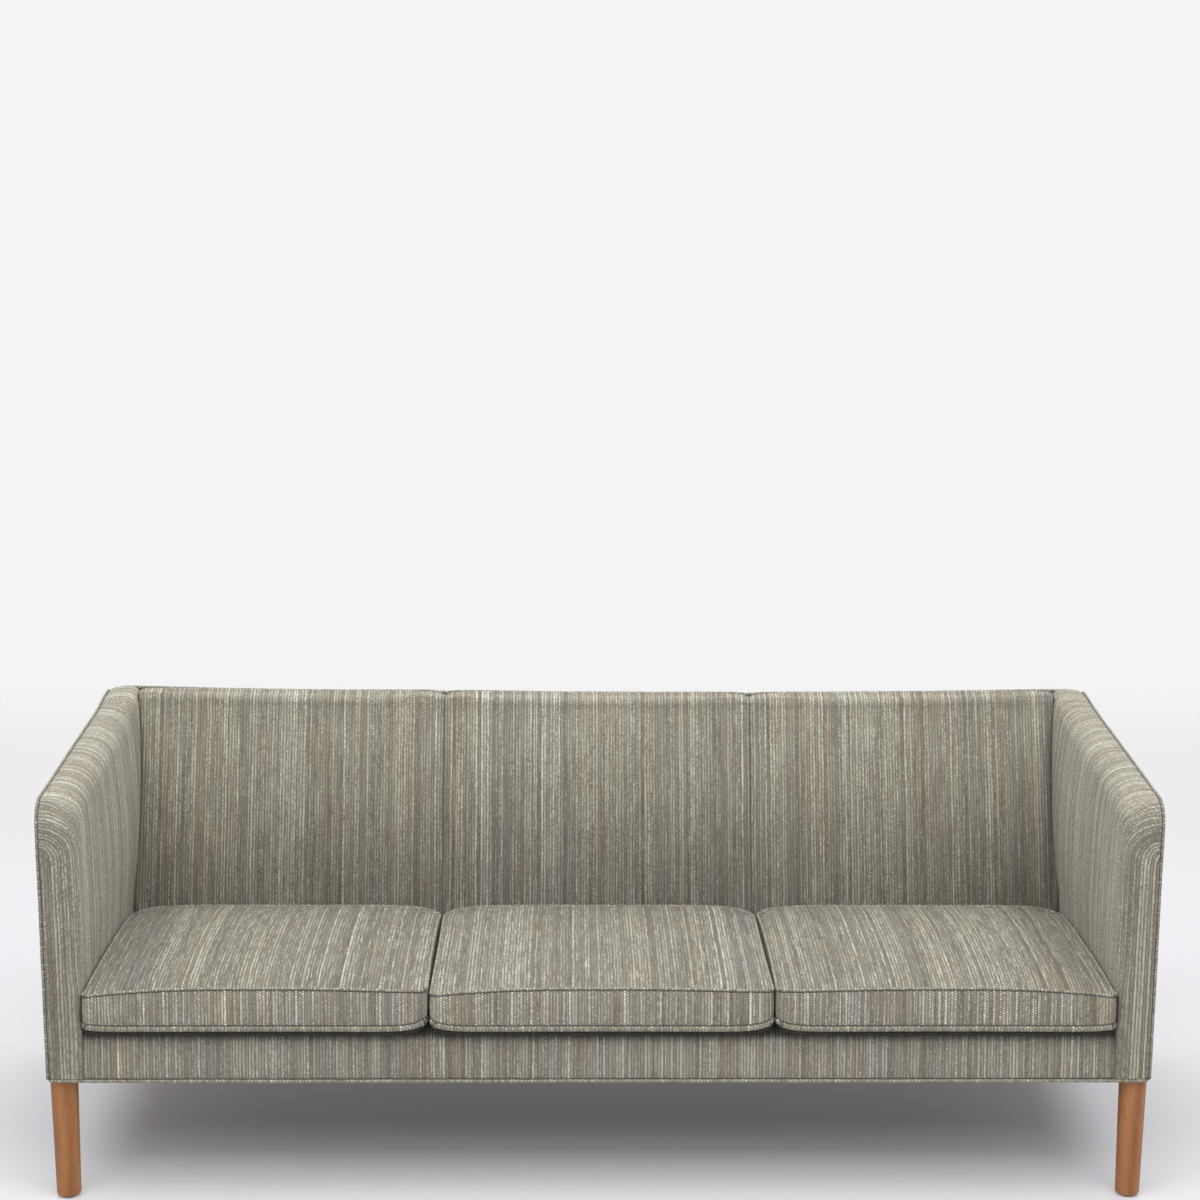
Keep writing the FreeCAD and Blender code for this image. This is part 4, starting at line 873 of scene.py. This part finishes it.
def make_border(name, low, high):
    """One half of the padded border, between the middle seam and an arm."""
    edge = (0.0, 0.002, 0.005, 0.01, 0.018)
    xs = [low + gap for gap in edge] + spaced(low + 0.03, high - 0.03, 0.02)
    xs += [high - gap for gap in reversed(edge)]
    crown = BORDER_TOP - BORDER_ROUND
    profile = [(0.004, SKIRT), (0.0, SKIRT + 0.0015)]
    profile += [(0.0, z) for z in spaced(SKIRT + 0.006, crown, 0.008)]
    profile += rounded(0.0, crown, 0.72 * BORDER_ROUND, BORDER_ROUND, 5)
    profile += [(0.0185, BORDER_TOP - 0.0002), (0.0205, BORDER_TOP - 0.0008)]

    def shape(x, place):
        inward, z = place
        gap = min(x - low, high - x)
        depth, width = MIDDLE_SEAM if abs(x) < 0.1 else END_SEAM
        fall = depth * math.exp(-gap / width)
        share = min(max((z - SKIRT) / (BORDER_TOP - SKIRT), 0.0), 1.0)
        full = BORDER_FULL * rise(share) * smooth(gap, 0.0, 0.03)
        full += ripple((x, 2.0, z), 0.12, 0.0008)
        lean = 0.001 + BORDER_LEAN * smooth(z, SKIRT + 0.01, BORDER_TOP - 0.01)
        return (x, FRONT + lean + inward + fall - full, z)

    piece = sheet(name, xs, profile, shape, up_and_over, WEAVE["border"])
    declare(piece, "upholstery", "front_border", fill=0.7)


make_border("left_border_cover", -ARM_INNER, 0.0)
make_border("right_border_cover", 0.0, ARM_INNER)


# Deck under the cushions and dust cloth under the frame

DECK_ROLL = 0.012
DUST_SAG = 0.0035
LEG_NOTCH = 0.043


def flat_weave(point):
    return point.xy


def make_deck():
    low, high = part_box("seat_deck")
    xs, ys = spaced(low.x, high.x, 0.03), spaced(low.y + 0.002, high.y, 0.02)

    def shape(x, y):
        z = DECK_FRONT - (y - low.y) * math.tan(SLOPE)
        z -= roll(DECK_ROLL, min(y - ys[0], DECK_ROLL)) + 0.0006
        return (x, y, z + ripple((x, y, 3.0), 0.1, 0.0004))

    piece = sheet("deck_cover", xs, ys, shape, flat_weave, DECK, turned=True)
    thick = piece.modifiers.new("Thick", "SOLIDIFY")
    thick.thickness = 0.02
    declare(piece, "deck_cloth", "seat_deck", fill=0.5)


def make_dust_cloth():
    low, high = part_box("dust_cover")
    xs, ys = spaced(low.x, high.x, 0.03), spaced(low.y, high.y, 0.03)

    def shape(x, y):
        return (x, y, low.z + 0.0006 - DUST_SAG * pillow((x, y), low, high, 0.5))

    def clear_of_legs(middle):
        to_edge = min(middle.y - low.y, high.y - middle.y)
        return high.x - abs(middle.x) > LEG_NOTCH or to_edge > LEG_NOTCH

    piece = sheet("dust_sheet", xs, ys, shape, flat_weave, DUST, True, 0, clear_of_legs)
    declare(piece, "dust_cloth", "dust_cover")


make_deck()
make_dust_cloth()

# Piping of the frame, each with a dark cord beside it for its seam, which also paints the shade of
# the crevice there

EDGE_X = OUTER + CORD
EDGE_FRONT = FRONT + CORD
EDGE_REAR = REAR + CORD
EDGE_TOP = TOP - CORD
BEND = 0.042
TURN = 0.014
CORD_WAVE = 0.0005


def corner_path(centre, radius, first, second):
    """Points round a quarter turn."""
    return [
        centre + (first * math.cos(angle) + second * math.sin(angle)) * radius
        for angle in [0.0] + turns(8)
    ]


def straight(start, end):
    """Points about 20 mm apart between two ends, without the ends."""
    count = max(int((end - start).length / 0.02), 1)
    return [start.lerp(end, index / count) for index in range(1, count)]


def edge_path(corners, start=None, end=None):
    """Points along straight edges and round their corners, closed where no ends are given."""
    path = [start] if start else []
    for corner in corners:
        turn = corner_path(*corner)
        if path:
            path += straight(path[-1], turn[0])
        path += turn
    return path + straight(path[-1], end or path[0]) + ([end] if end else [])


def sofa_cord(name, path, wave_seed, over, closed, radius, material, nodes):
    """A cord or a seam along a path. A hand-sewn line is never quite straight."""
    moved = []
    for point in map(raised, path):
        step = noise.noise_vector(point * 14.0 + Vector((wave_seed, 0, 0))) * CORD_WAVE
        moved.append(point + step)
    declare(tube(name, moved, radius, material, over, closed, 10), "piping", *nodes)


for side_name, side_sign in SIDES:
    for label, inward, lower, radius, material, nodes in (
        ("piping", 0.0, 0.0, CORD, WEAVE["cord"], [side_name + "_arm_piping"]),
        ("seam", 0.0031, -0.0024, FINE_THREAD, SEAM_SHADE_CORD, []),
    ):
        edge = side_sign * (EDGE_X - inward)
        bend = (Vector((edge, EDGE_FRONT + BEND, EDGE_TOP - BEND)), BEND - lower, -Y, Z)
        ends = Vector((edge, EDGE_FRONT + lower, SKIRT)), Vector((edge, REAR, EDGE_TOP - lower))
        name = "%s_arm_%s" % (side_name, label)
        path = edge_path([bend], *ends)
        sofa_cord(name, path, side_sign, X, False, radius, material, nodes)

for label, outward, lower, radius, material, nodes in (
    ("piping", 0.0, 0.0, CORD, WEAVE["cord"], ["back_piping"]),
    ("seam", 0.0009, 0.0033, EDGE_THREAD, SEAM_SHADE_CORD, []),
):
    rear = EDGE_REAR + outward
    bends = [
        (Vector((EDGE_X - TURN, rear, EDGE_TOP - TURN)), TURN - lower, X, Z),
        (Vector((TURN - EDGE_X, rear, EDGE_TOP - TURN)), TURN - lower, Z, -X),
    ]
    ends = [Vector((side * (EDGE_X - lower), rear, SKIRT)) for side in (1, -1)]
    path = edge_path(bends, *ends)
    sofa_cord("back_" + label, path, 7.0, Y, False, radius, material, nodes)

for label, grow, level, radius, material, nodes in (
    ("piping", 0.0, SKIRT - CORD, CORD, WEAVE["cord"], ["bottom_piping"]),
    ("seam", -0.0010, SKIRT + 0.0005, EDGE_THREAD, SEAM_SHADE_CORD, []),
):
    far_x = EDGE_X - TURN
    near_y = EDGE_FRONT - 0.002 + TURN
    far_y = EDGE_REAR - TURN
    bends = [
        (Vector((x, y, level)), TURN + grow, first, second)
        for x, y, first, second in (
            (far_x, near_y, -Y, X),
            (far_x, far_y, X, Y),
            (-far_x, far_y, Y, -X),
            (-far_x, near_y, -X, -Y),
        )
    ]
    sofa_cord("bottom_" + label, edge_path(bends), 4.0, Z, True, radius, material, nodes)


# Loose cushions

CUSHION_DEPTH = 0.5589
CUSHION_FRONT = -0.382
CUSHION_LEVEL = 0.33518
CUSHION_PUFF = 0.014
BOXING = 0.062
BOW = 0.015
WALL_INSET = 0.0030
GRID_X = 56
GRID_Y = 50
WALL_ROWS = 7
SEAM_CREASE = 0.7
# Each cushion's left and right end, and how far its two front corners stand out sideways.
# Corners go from the front left one to the rear left one: their radii in plan, how far the
# upper seam stays up there, and how far the lower seam lifts.
CUSHIONS = {
    "left": (
        (-0.9288, -0.3092, 0.004, 0.0),
        (0.009, 0.012, 0.03, 0.026),
        (0.001, 0.011, 0.0, 0.0),
        (0.004, 0.016, 0.0, 0.0),
    ),
    "middle": (
        (-0.3080, 0.3138, 0.0, 0.0),
        (0.010, 0.010, 0.03, 0.03),
        (0.003, 0.012, 0.0, 0.0),
        (0.012, 0.015, 0.0, 0.0),
    ),
    "right": (
        (0.3150, 0.9288, 0.0, 0.004),
        (0.011, 0.009, 0.026, 0.03),
        (0.012, 0.001, 0.0, 0.0),
        (0.013, 0.004, 0.0, 0.0),
    ),
}
# Cords of a cushion: the seam that they follow, how far they stand out of it and above it, how
# far they hang below that in front, their radius, how much taller than wide, and their material.
CUSHION_CORDS = (
    ("top_piping", "top", 0.0004, 0.0, 0.0, 0.0025, 1.0, WEAVE["cord"]),
    ("top_seam", "top", 0.0012, -0.0028, 0.0, FINE_THREAD, 1.0, SEAM_SHADE_CORD),
    ("low_piping", "low", -0.0009, 0.0030, 0.0040, 0.0043, 1.4, WEAVE["low_cord"]),
    ("low_seam", "low", 0.0016, 0.0094, 0.0036, FINE_THREAD, 1.0, SEAM_SHADE_CORD),
    # The last cord is a painted shadow line under the lower piping, not a seam.
    ("under_shadow_cord", "low", 0.0006, 0.0010, 0.0115, 0.0023, 1.0, PAINTED_SHADOW_CORD),
)


class Cushion:
    """Places on one cushion, whose plan is a rounded rectangle about its own middle."""

    def __init__(self, name):
        (left, right, *self.ears), self.radii, self.kept, self.lifts = CUSHIONS[name]
        self.middle = (left + right) / 2
        self.half_x = (right - left) / 2 - WALL_INSET
        self.half_y = CUSHION_DEPTH / 2 - WALL_INSET

    def corner(self, x, y):
        return (2 if x > 0 else 3) if y > 0 else (1 if x > 0 else 0)

    def outline(self, xi, eta):
        """The wall's plan for a place on the edge of the square from -1 to 1."""
        x, y = xi * self.half_x, eta * self.half_y
        radius = self.radii[self.corner(xi, eta)]
        from_x, from_y = self.half_x - abs(x), self.half_y - abs(y)
        if from_x < radius and from_y < radius:
            # The square's edge within reach of a corner is laid on the round.
            share = 0.5 * from_x / radius if from_y < 1e-9 else 1.0 - 0.5 * from_y / radius
            angle = math.pi / 2 * (1.0 - share)
            x = math.copysign(self.half_x - radius + radius * math.cos(angle), xi)
            y = math.copysign(self.half_y - radius + radius * math.sin(angle), eta)
        ear = self.ears[0 if xi < 0 else 1] * (1 - smooth(y + self.half_y, 0.006, 0.024))
        draw_x = 0.003 * rise(y / (2 * self.half_y) + 0.5) * smooth(abs(xi), 0.0, 1.0)
        draw_x -= ear * abs(xi) ** 8
        draw_y = 0.002 * rise(x / (2 * self.half_x) + 0.5) * smooth(abs(eta), 0.0, 1.0)
        x -= draw_x * math.copysign(1, xi)
        y -= draw_y * math.copysign(1, eta)
        return Vector((x, y, 0.0))

    def place(self, xi, eta):
        """The plan for any place in the square."""
        ring = max(abs(xi), abs(eta))
        plain = Vector((xi * self.half_x, eta * self.half_y, 0.0))
        if ring < 1e-6:
            return plain
        edge = Vector((xi / ring * self.half_x, eta / ring * self.half_y, 0.0))
        return plain + (self.outline(xi / ring, eta / ring) - edge) * ring**5

    def shares(self, x, y):
        return min(abs(x) / self.half_x, 1.0), min(abs(y) / self.half_y, 1.0)

    def upper(self, x, y):
        """Height of the upper seam, and of a sheet drawn over it."""
        t_x, t_y = self.shares(x, y)
        across = 1.0 - t_x ** (3.0 + 5.0 * smooth(y / self.half_y, -0.6, 1.0))
        kept = self.kept[self.corner(x, y)] * t_x**4 * t_y**4
        return BOXING + BOW * (across + 1.0 - t_y**3) + kept

    def lower(self, x, y):
        """Height of the lower seam."""
        t_x, t_y = self.shares(x, y)
        return 0.003 + self.lifts[self.corner(x, y)] * t_x**14 * t_y**6

    def sheets(self, lines, cells, seed):
        """Points of the upper face, and then of the lower one."""
        points = []
        for above in (True, False):
            for xi in lines:
                for eta in cells:
                    x, y, _ = self.place(xi, eta)
                    inside = min(1.0 - abs(xi), 1.0 - abs(eta))
                    if above:
                        z = self.upper(x, y)
                        full = 0.003 + ripple((x, y, seed), 0.16, 0.003)
                        z += full * smooth(inside, 0.0, 0.1)
                        z -= 0.008 * rise(xi / 2 + 0.5) * rise(eta / 2 + 0.5)
                    else:
                        z = self.lower(x, y) * (1 - smooth(inside, 0.0, 0.05))
                    points.append(Vector((x, y, z)))
        return points


def eased(count):
    return [math.copysign(1 - (1 - abs(t)) ** 1.25, t) for t in spaced(-1.0, 1.0, 2.0 / count)]


def make_cushion(name, index):
    shape = Cushion(name)
    lines, cells = eased(GRID_X), eased(GRID_Y)
    points = shape.sheets(lines, cells, 2.3 * index + 1.0)
    columns = len(cells)
    count = len(lines) * columns
    faces = flipped(grid_faces(len(lines), columns)) + grid_faces(len(lines), columns, count)
    sheet_faces = len(faces)

    # The rim runs once round each sheet, and the wall's rows stand between the two rims.
    last = count - columns
    rim_top = list(range(columns - 1)) + list(range(columns - 1, last, columns))
    rim_top += list(range(count - 1, last, -1)) + list(range(last, 0, -columns))
    rim_low = [count + number for number in rim_top]
    ring = len(rim_top)
    outs = []
    for number in range(ring):
        along = points[rim_top[(number + 1) % ring]] - points[rim_top[number - 1]]
        outs.append(Vector((-along.y, along.x, 0.0)).normalized())
    ladder = [rim_low]
    for row in range(1, WALL_ROWS):
        share = row / WALL_ROWS
        ladder.append(list(range(len(points), len(points) + ring)))
        for low, high, out in zip(rim_low, rim_top, outs):
            full = 0.0028 if abs(out.x) > 0.7 else 0.0032
            points.append(points[low].lerp(points[high], share) + out * (full * rise(share) ** 0.6))
    ladder.append(rim_top)
    for low, high in zip(ladder, ladder[1:]):
        for number in range(ring):
            after = (number + 1) % ring
            faces.append((low[number], high[number], high[after], low[after]))

    # The stripes run over the sheets from front to rear, and up the wall.
    run = [0.9 * index + 0.37]
    for number in range(ring):
        step = points[rim_top[(number + 1) % ring]] - points[rim_top[number]]
        run.append(run[-1] + math.hypot(step.x, step.y))
    places = []
    for number, face in enumerate(faces):
        corners = [points[corner] for corner in face]
        if number < sheet_faces:
            places.append([(point.x + 0.9 * index, point.y + 0.2 * index) for point in corners])
        else:
            step = (number - sheet_faces) % ring
            ends = (run[step], run[step], run[step + 1], run[step + 1])
            places.append([(end, point.z) for end, point in zip(ends, corners)])
    piece = build(name + "_cushion_case", points, faces, places, WEAVE["seat"], levels=1)
    piece.data.materials.append(WEAVE["box"])
    boxing = [int(number >= sheet_faces) for number in range(len(faces))]
    piece.data.polygons.foreach_set("material_index", boxing)
    creased = piece.data.attributes.new("crease_edge", "FLOAT", "EDGE")
    for line in (set(rim_top), set(rim_low)):
        for edge in piece.data.edges:
            if line.issuperset(edge.vertices):
                creased.data[edge.index].value = SEAM_CREASE
    low_and_rim = rim_top + list(range(count, 2 * count))
    walls = list(range(2 * count, len(points)))
    puff(piece, [(1.0, low_and_rim), (0.8, walls)], CUSHION_PUFF)
    to_sofa = (
        Matrix.Translation((shape.middle, CUSHION_FRONT, CUSHION_LEVEL))
        @ Matrix.Rotation(-SLOPE, 4, "X")
        @ Matrix.Translation((0.0, CUSHION_DEPTH / 2, 0.0))
    )
    piece.data.transform(to_sofa)
    body = name + "_cushion"
    nodes = (name + "_cushion_cover", name + "_cushion_foam")
    declare(piece, "upholstery", *nodes, body=body, fill=0.75)
    over = to_sofa.to_3x3() @ Z
    for label, seam, out, up, hang, radius, tall, material in CUSHION_CORDS:
        path = []
        for number, normal in zip(rim_top if seam == "top" else rim_low, outs):
            local = points[number] + normal * out
            # In front of the border the lower piping hangs a little below the deck.
            ahead = smooth(-local.y, shape.half_y - 0.012, shape.half_y - 0.001)
            path.append(to_sofa @ (local + Vector((0, 0, up - hang * ahead))))
        cord = tube("%s_cushion_%s" % (name, label), path, radius, material, over, True, 8, tall)
        nodes = [name + "_cushion_piping"] if label == "top_piping" else []
        declare(cord, "piping", *nodes, body=body)


for cushion_index, cushion_name in enumerate(CUSHIONS):
    make_cushion(cushion_name, cushion_index)


# Legs, turned from a profile of radius and height

LEG_FOOT = ((0.0, 0.003), (0.012, 0.003), (0.0188, 0.0032), (0.0206, 0.0038), (0.0216, 0.0052))
LEG_SHAFT = ((0.0221, 0.0078), (0.0224, 0.03), (0.0232, 0.09), (0.024, 0.15), (0.0247, 0.205))
LEG_TOP = ((0.025, 0.2275), (0.0246, 0.2305), (0.0236, 0.2313), (0.018, 0.2315), (0.018, 0.234))
LEG_BOLT = ((0.012, 0.234), (0.012, 0.268), (0.0, 0.268))
LEG_PROFILE = LEG_FOOT + LEG_SHAFT + LEG_TOP + LEG_BOLT
LEG_SIDES = 64
LEG_X = 0.973
LEG_ENDS = (("front", -0.344), ("rear", 0.352))


def make_leg(name, node, x, y):
    points = []
    for radius, z in LEG_PROFILE:
        wide = max(radius, 1e-5)
        for side in range(LEG_SIDES):
            angle = 2 * math.pi * side / LEG_SIDES
            points.append(Vector((x + wide * math.cos(angle), y + wide * math.sin(angle), z)))
    faces = []
    for row in range(len(LEG_PROFILE) - 1):
        low, high = row * LEG_SIDES, (row + 1) * LEG_SIDES
        for side in range(LEG_SIDES):
            after = (side + 1) % LEG_SIDES
            faces.append((low + side, low + after, high + after, high + side))
    at = placed(points, faces, lambda point: point.xz)
    piece = build(name, points, faces, at, LEG_OAK)
    sharp = piece.modifiers.new("Edges", "EDGE_SPLIT")
    sharp.split_angle = math.radians(50)
    declare(piece, "leg_oak", node)


for side_name, side_sign in SIDES:
    for end_name, leg_y in LEG_ENDS:
        name = "%s_%s_leg" % (side_name, end_name)
        make_leg(name, end_name + "_legs", side_sign * LEG_X, leg_y)

# Nodes of the frame that no piece replaces keep their solids and get their materials.
# The first of these words that is in a node's name says which, and the rest are beech.

NODE_FINISHES = (
    ("glides", GLIDE),
    ("batten", BEECH),
    ("webbing", WEBBING),
    ("hessian", HESSIAN),
    ("foam", FOAM),
    ("", BEECH),
)

for node_name, node_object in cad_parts.items():
    if not node_object.hide_render:
        finish = next(finish for word, finish in NODE_FINISHES if word in node_name)
        node_object.data.materials.clear()
        node_object.data.materials.append(finish)


# Floor, light and camera

FLOOR_CORNERS = [(-9, -7, 0), (9, -7, 0), (9, 9, 0), (-9, 9, 0)]
FLOOR_TONES = ((0.775, 0.775, 0.8), (0.82, 0.82, 0.845))
# The painted shade colour of the floor under the sofa.
UNDER_SHADE_TINT = (0.81, 0.755, 0.75)
LIT_TONE = (1.0, 1.0, 1.02, 1.0)
LIT_STRENGTH = 0.42
BACKDROP_TONE = (0.905, 0.905, 0.91, 1.0)
# Name, place, target, width, height and power.
LIGHTS = (
    ("overhead", (0.0, -1.7, 3.1), (0.0, -0.6, 0.0), 5.0, 2.2, 104.0),
    ("behind", (0.0, 1.6, 2.9), (0.0, 0.0, 0.4), 5.0, 2.0, 66.0),
)
CAMERA_PLACE = (-0.056, -4.7592, 2.1448)
CAMERA_LENS = 78.0
PITCH, YAW, TILT = 0.2278, 0.0119, 0.0043


def make_floor():
    """A floor that fades into the backdrop behind, far away and in front of the sofa."""
    graph = Graph("pale_floor")
    place = graph.place()
    x, y, _ = graph.axes(place)
    marks = graph.noise(place, 2.2, 5.0, 0.65)
    scuffs = graph.noise(place, 14.0, 6.0, 0.7)
    tone = graph.mix(graph.blend((marks, 0.6), (scuffs, 0.4)), *FLOOR_TONES)
    # Painted shade: under the sofa the floor is tinted darker and warmer, where its shadow falls.
    under = graph.stretch(graph.math("ABSOLUTE", x), 1.0, 0.86)
    for start, end in ((-0.24, -0.04), (0.5, 0.36)):
        under = graph.times(under, graph.stretch(y, start, end))
    tone = graph.mix(under, tone, UNDER_SHADE_TINT)
    graph.finish(tone, 0.6, Specular_IOR_Level=0.2)
    behind = graph.stretch(y, 0.5, 3.5)
    distance = graph.add("ShaderNodeVectorMath", {0: place}, operation="LENGTH").outputs["Value"]
    far = graph.stretch(distance, 3.0, 6.5)
    # Painted light: in front of the sofa up to a fifth of the backdrop shows through the floor,
    # which pales the sofa's shadow there.
    front = graph.stretch(y, -0.01, -0.26, 0.038, 0.19)
    faded = graph.math("MAXIMUM", graph.math("MAXIMUM", behind, far), front)
    clear = graph.add("ShaderNodeBsdfTransparent").outputs[0]
    graph.show("Material Output", faded, graph.shader.outputs[0], clear)
    mesh = bpy.data.meshes.new("floor")
    mesh.from_pydata(FLOOR_CORNERS, [], [(0, 1, 2, 3)])
    mesh.materials.append(graph.made)
    floor = bpy.data.objects.new("floor", mesh)
    SCENE.collection.objects.link(floor)


def make_world():
    """Even light, in which the camera, reflections and clear things see the paler backdrop."""
    graph = Graph("studio", bpy.data.worlds, "Background")
    graph.put(graph.shader.inputs["Color"], LIT_TONE)
    graph.put(graph.shader.inputs["Strength"], LIT_STRENGTH)
    backdrop = graph.add("ShaderNodeBackground", {"Color": BACKDROP_TONE, "Strength": 1.0})
    rays = graph.add("ShaderNodeLightPath").outputs
    seen = graph.math("MAXIMUM", rays["Is Camera Ray"], rays["Is Glossy Ray"])
    seen = graph.math("MAXIMUM", seen, rays["Is Transmission Ray"])
    graph.show("World Output", seen, graph.shader.outputs[0], backdrop.outputs[0])
    SCENE.world = graph.made


def make_light(name, place, target, width, height, power):
    light = bpy.data.lights.new(name, "AREA")
    light.shape = "RECTANGLE"
    light.size = width
    light.size_y = height
    light.energy = power
    holder = bpy.data.objects.new(name, light)
    holder.location = place
    holder.rotation_euler = (Vector(target) - Vector(place)).to_track_quat("-Z", "Y").to_euler()
    SCENE.collection.objects.link(holder)


def make_camera():
    """The pinhole camera that was fitted to the photograph."""
    lens = bpy.data.cameras.new("photo_camera")
    lens.sensor_fit = "HORIZONTAL"
    lens.sensor_width = 36.0
    lens.lens = CAMERA_LENS
    lens.clip_end = 100.0
    camera = bpy.data.objects.new("photo_camera", lens)
    camera.matrix_world = Matrix.Translation(CAMERA_PLACE)
    for angle, axis in ((-YAW, "Z"), (math.pi / 2 - PITCH, "X"), (TILT, "Z")):
        camera.matrix_world = camera.matrix_world @ Matrix.Rotation(angle, 4, axis)
    SCENE.collection.objects.link(camera)
    SCENE.camera = camera


make_floor()
make_world()
for light in LIGHTS:
    make_light(*light)
make_camera()
SCENE.view_settings.view_transform = "Standard"
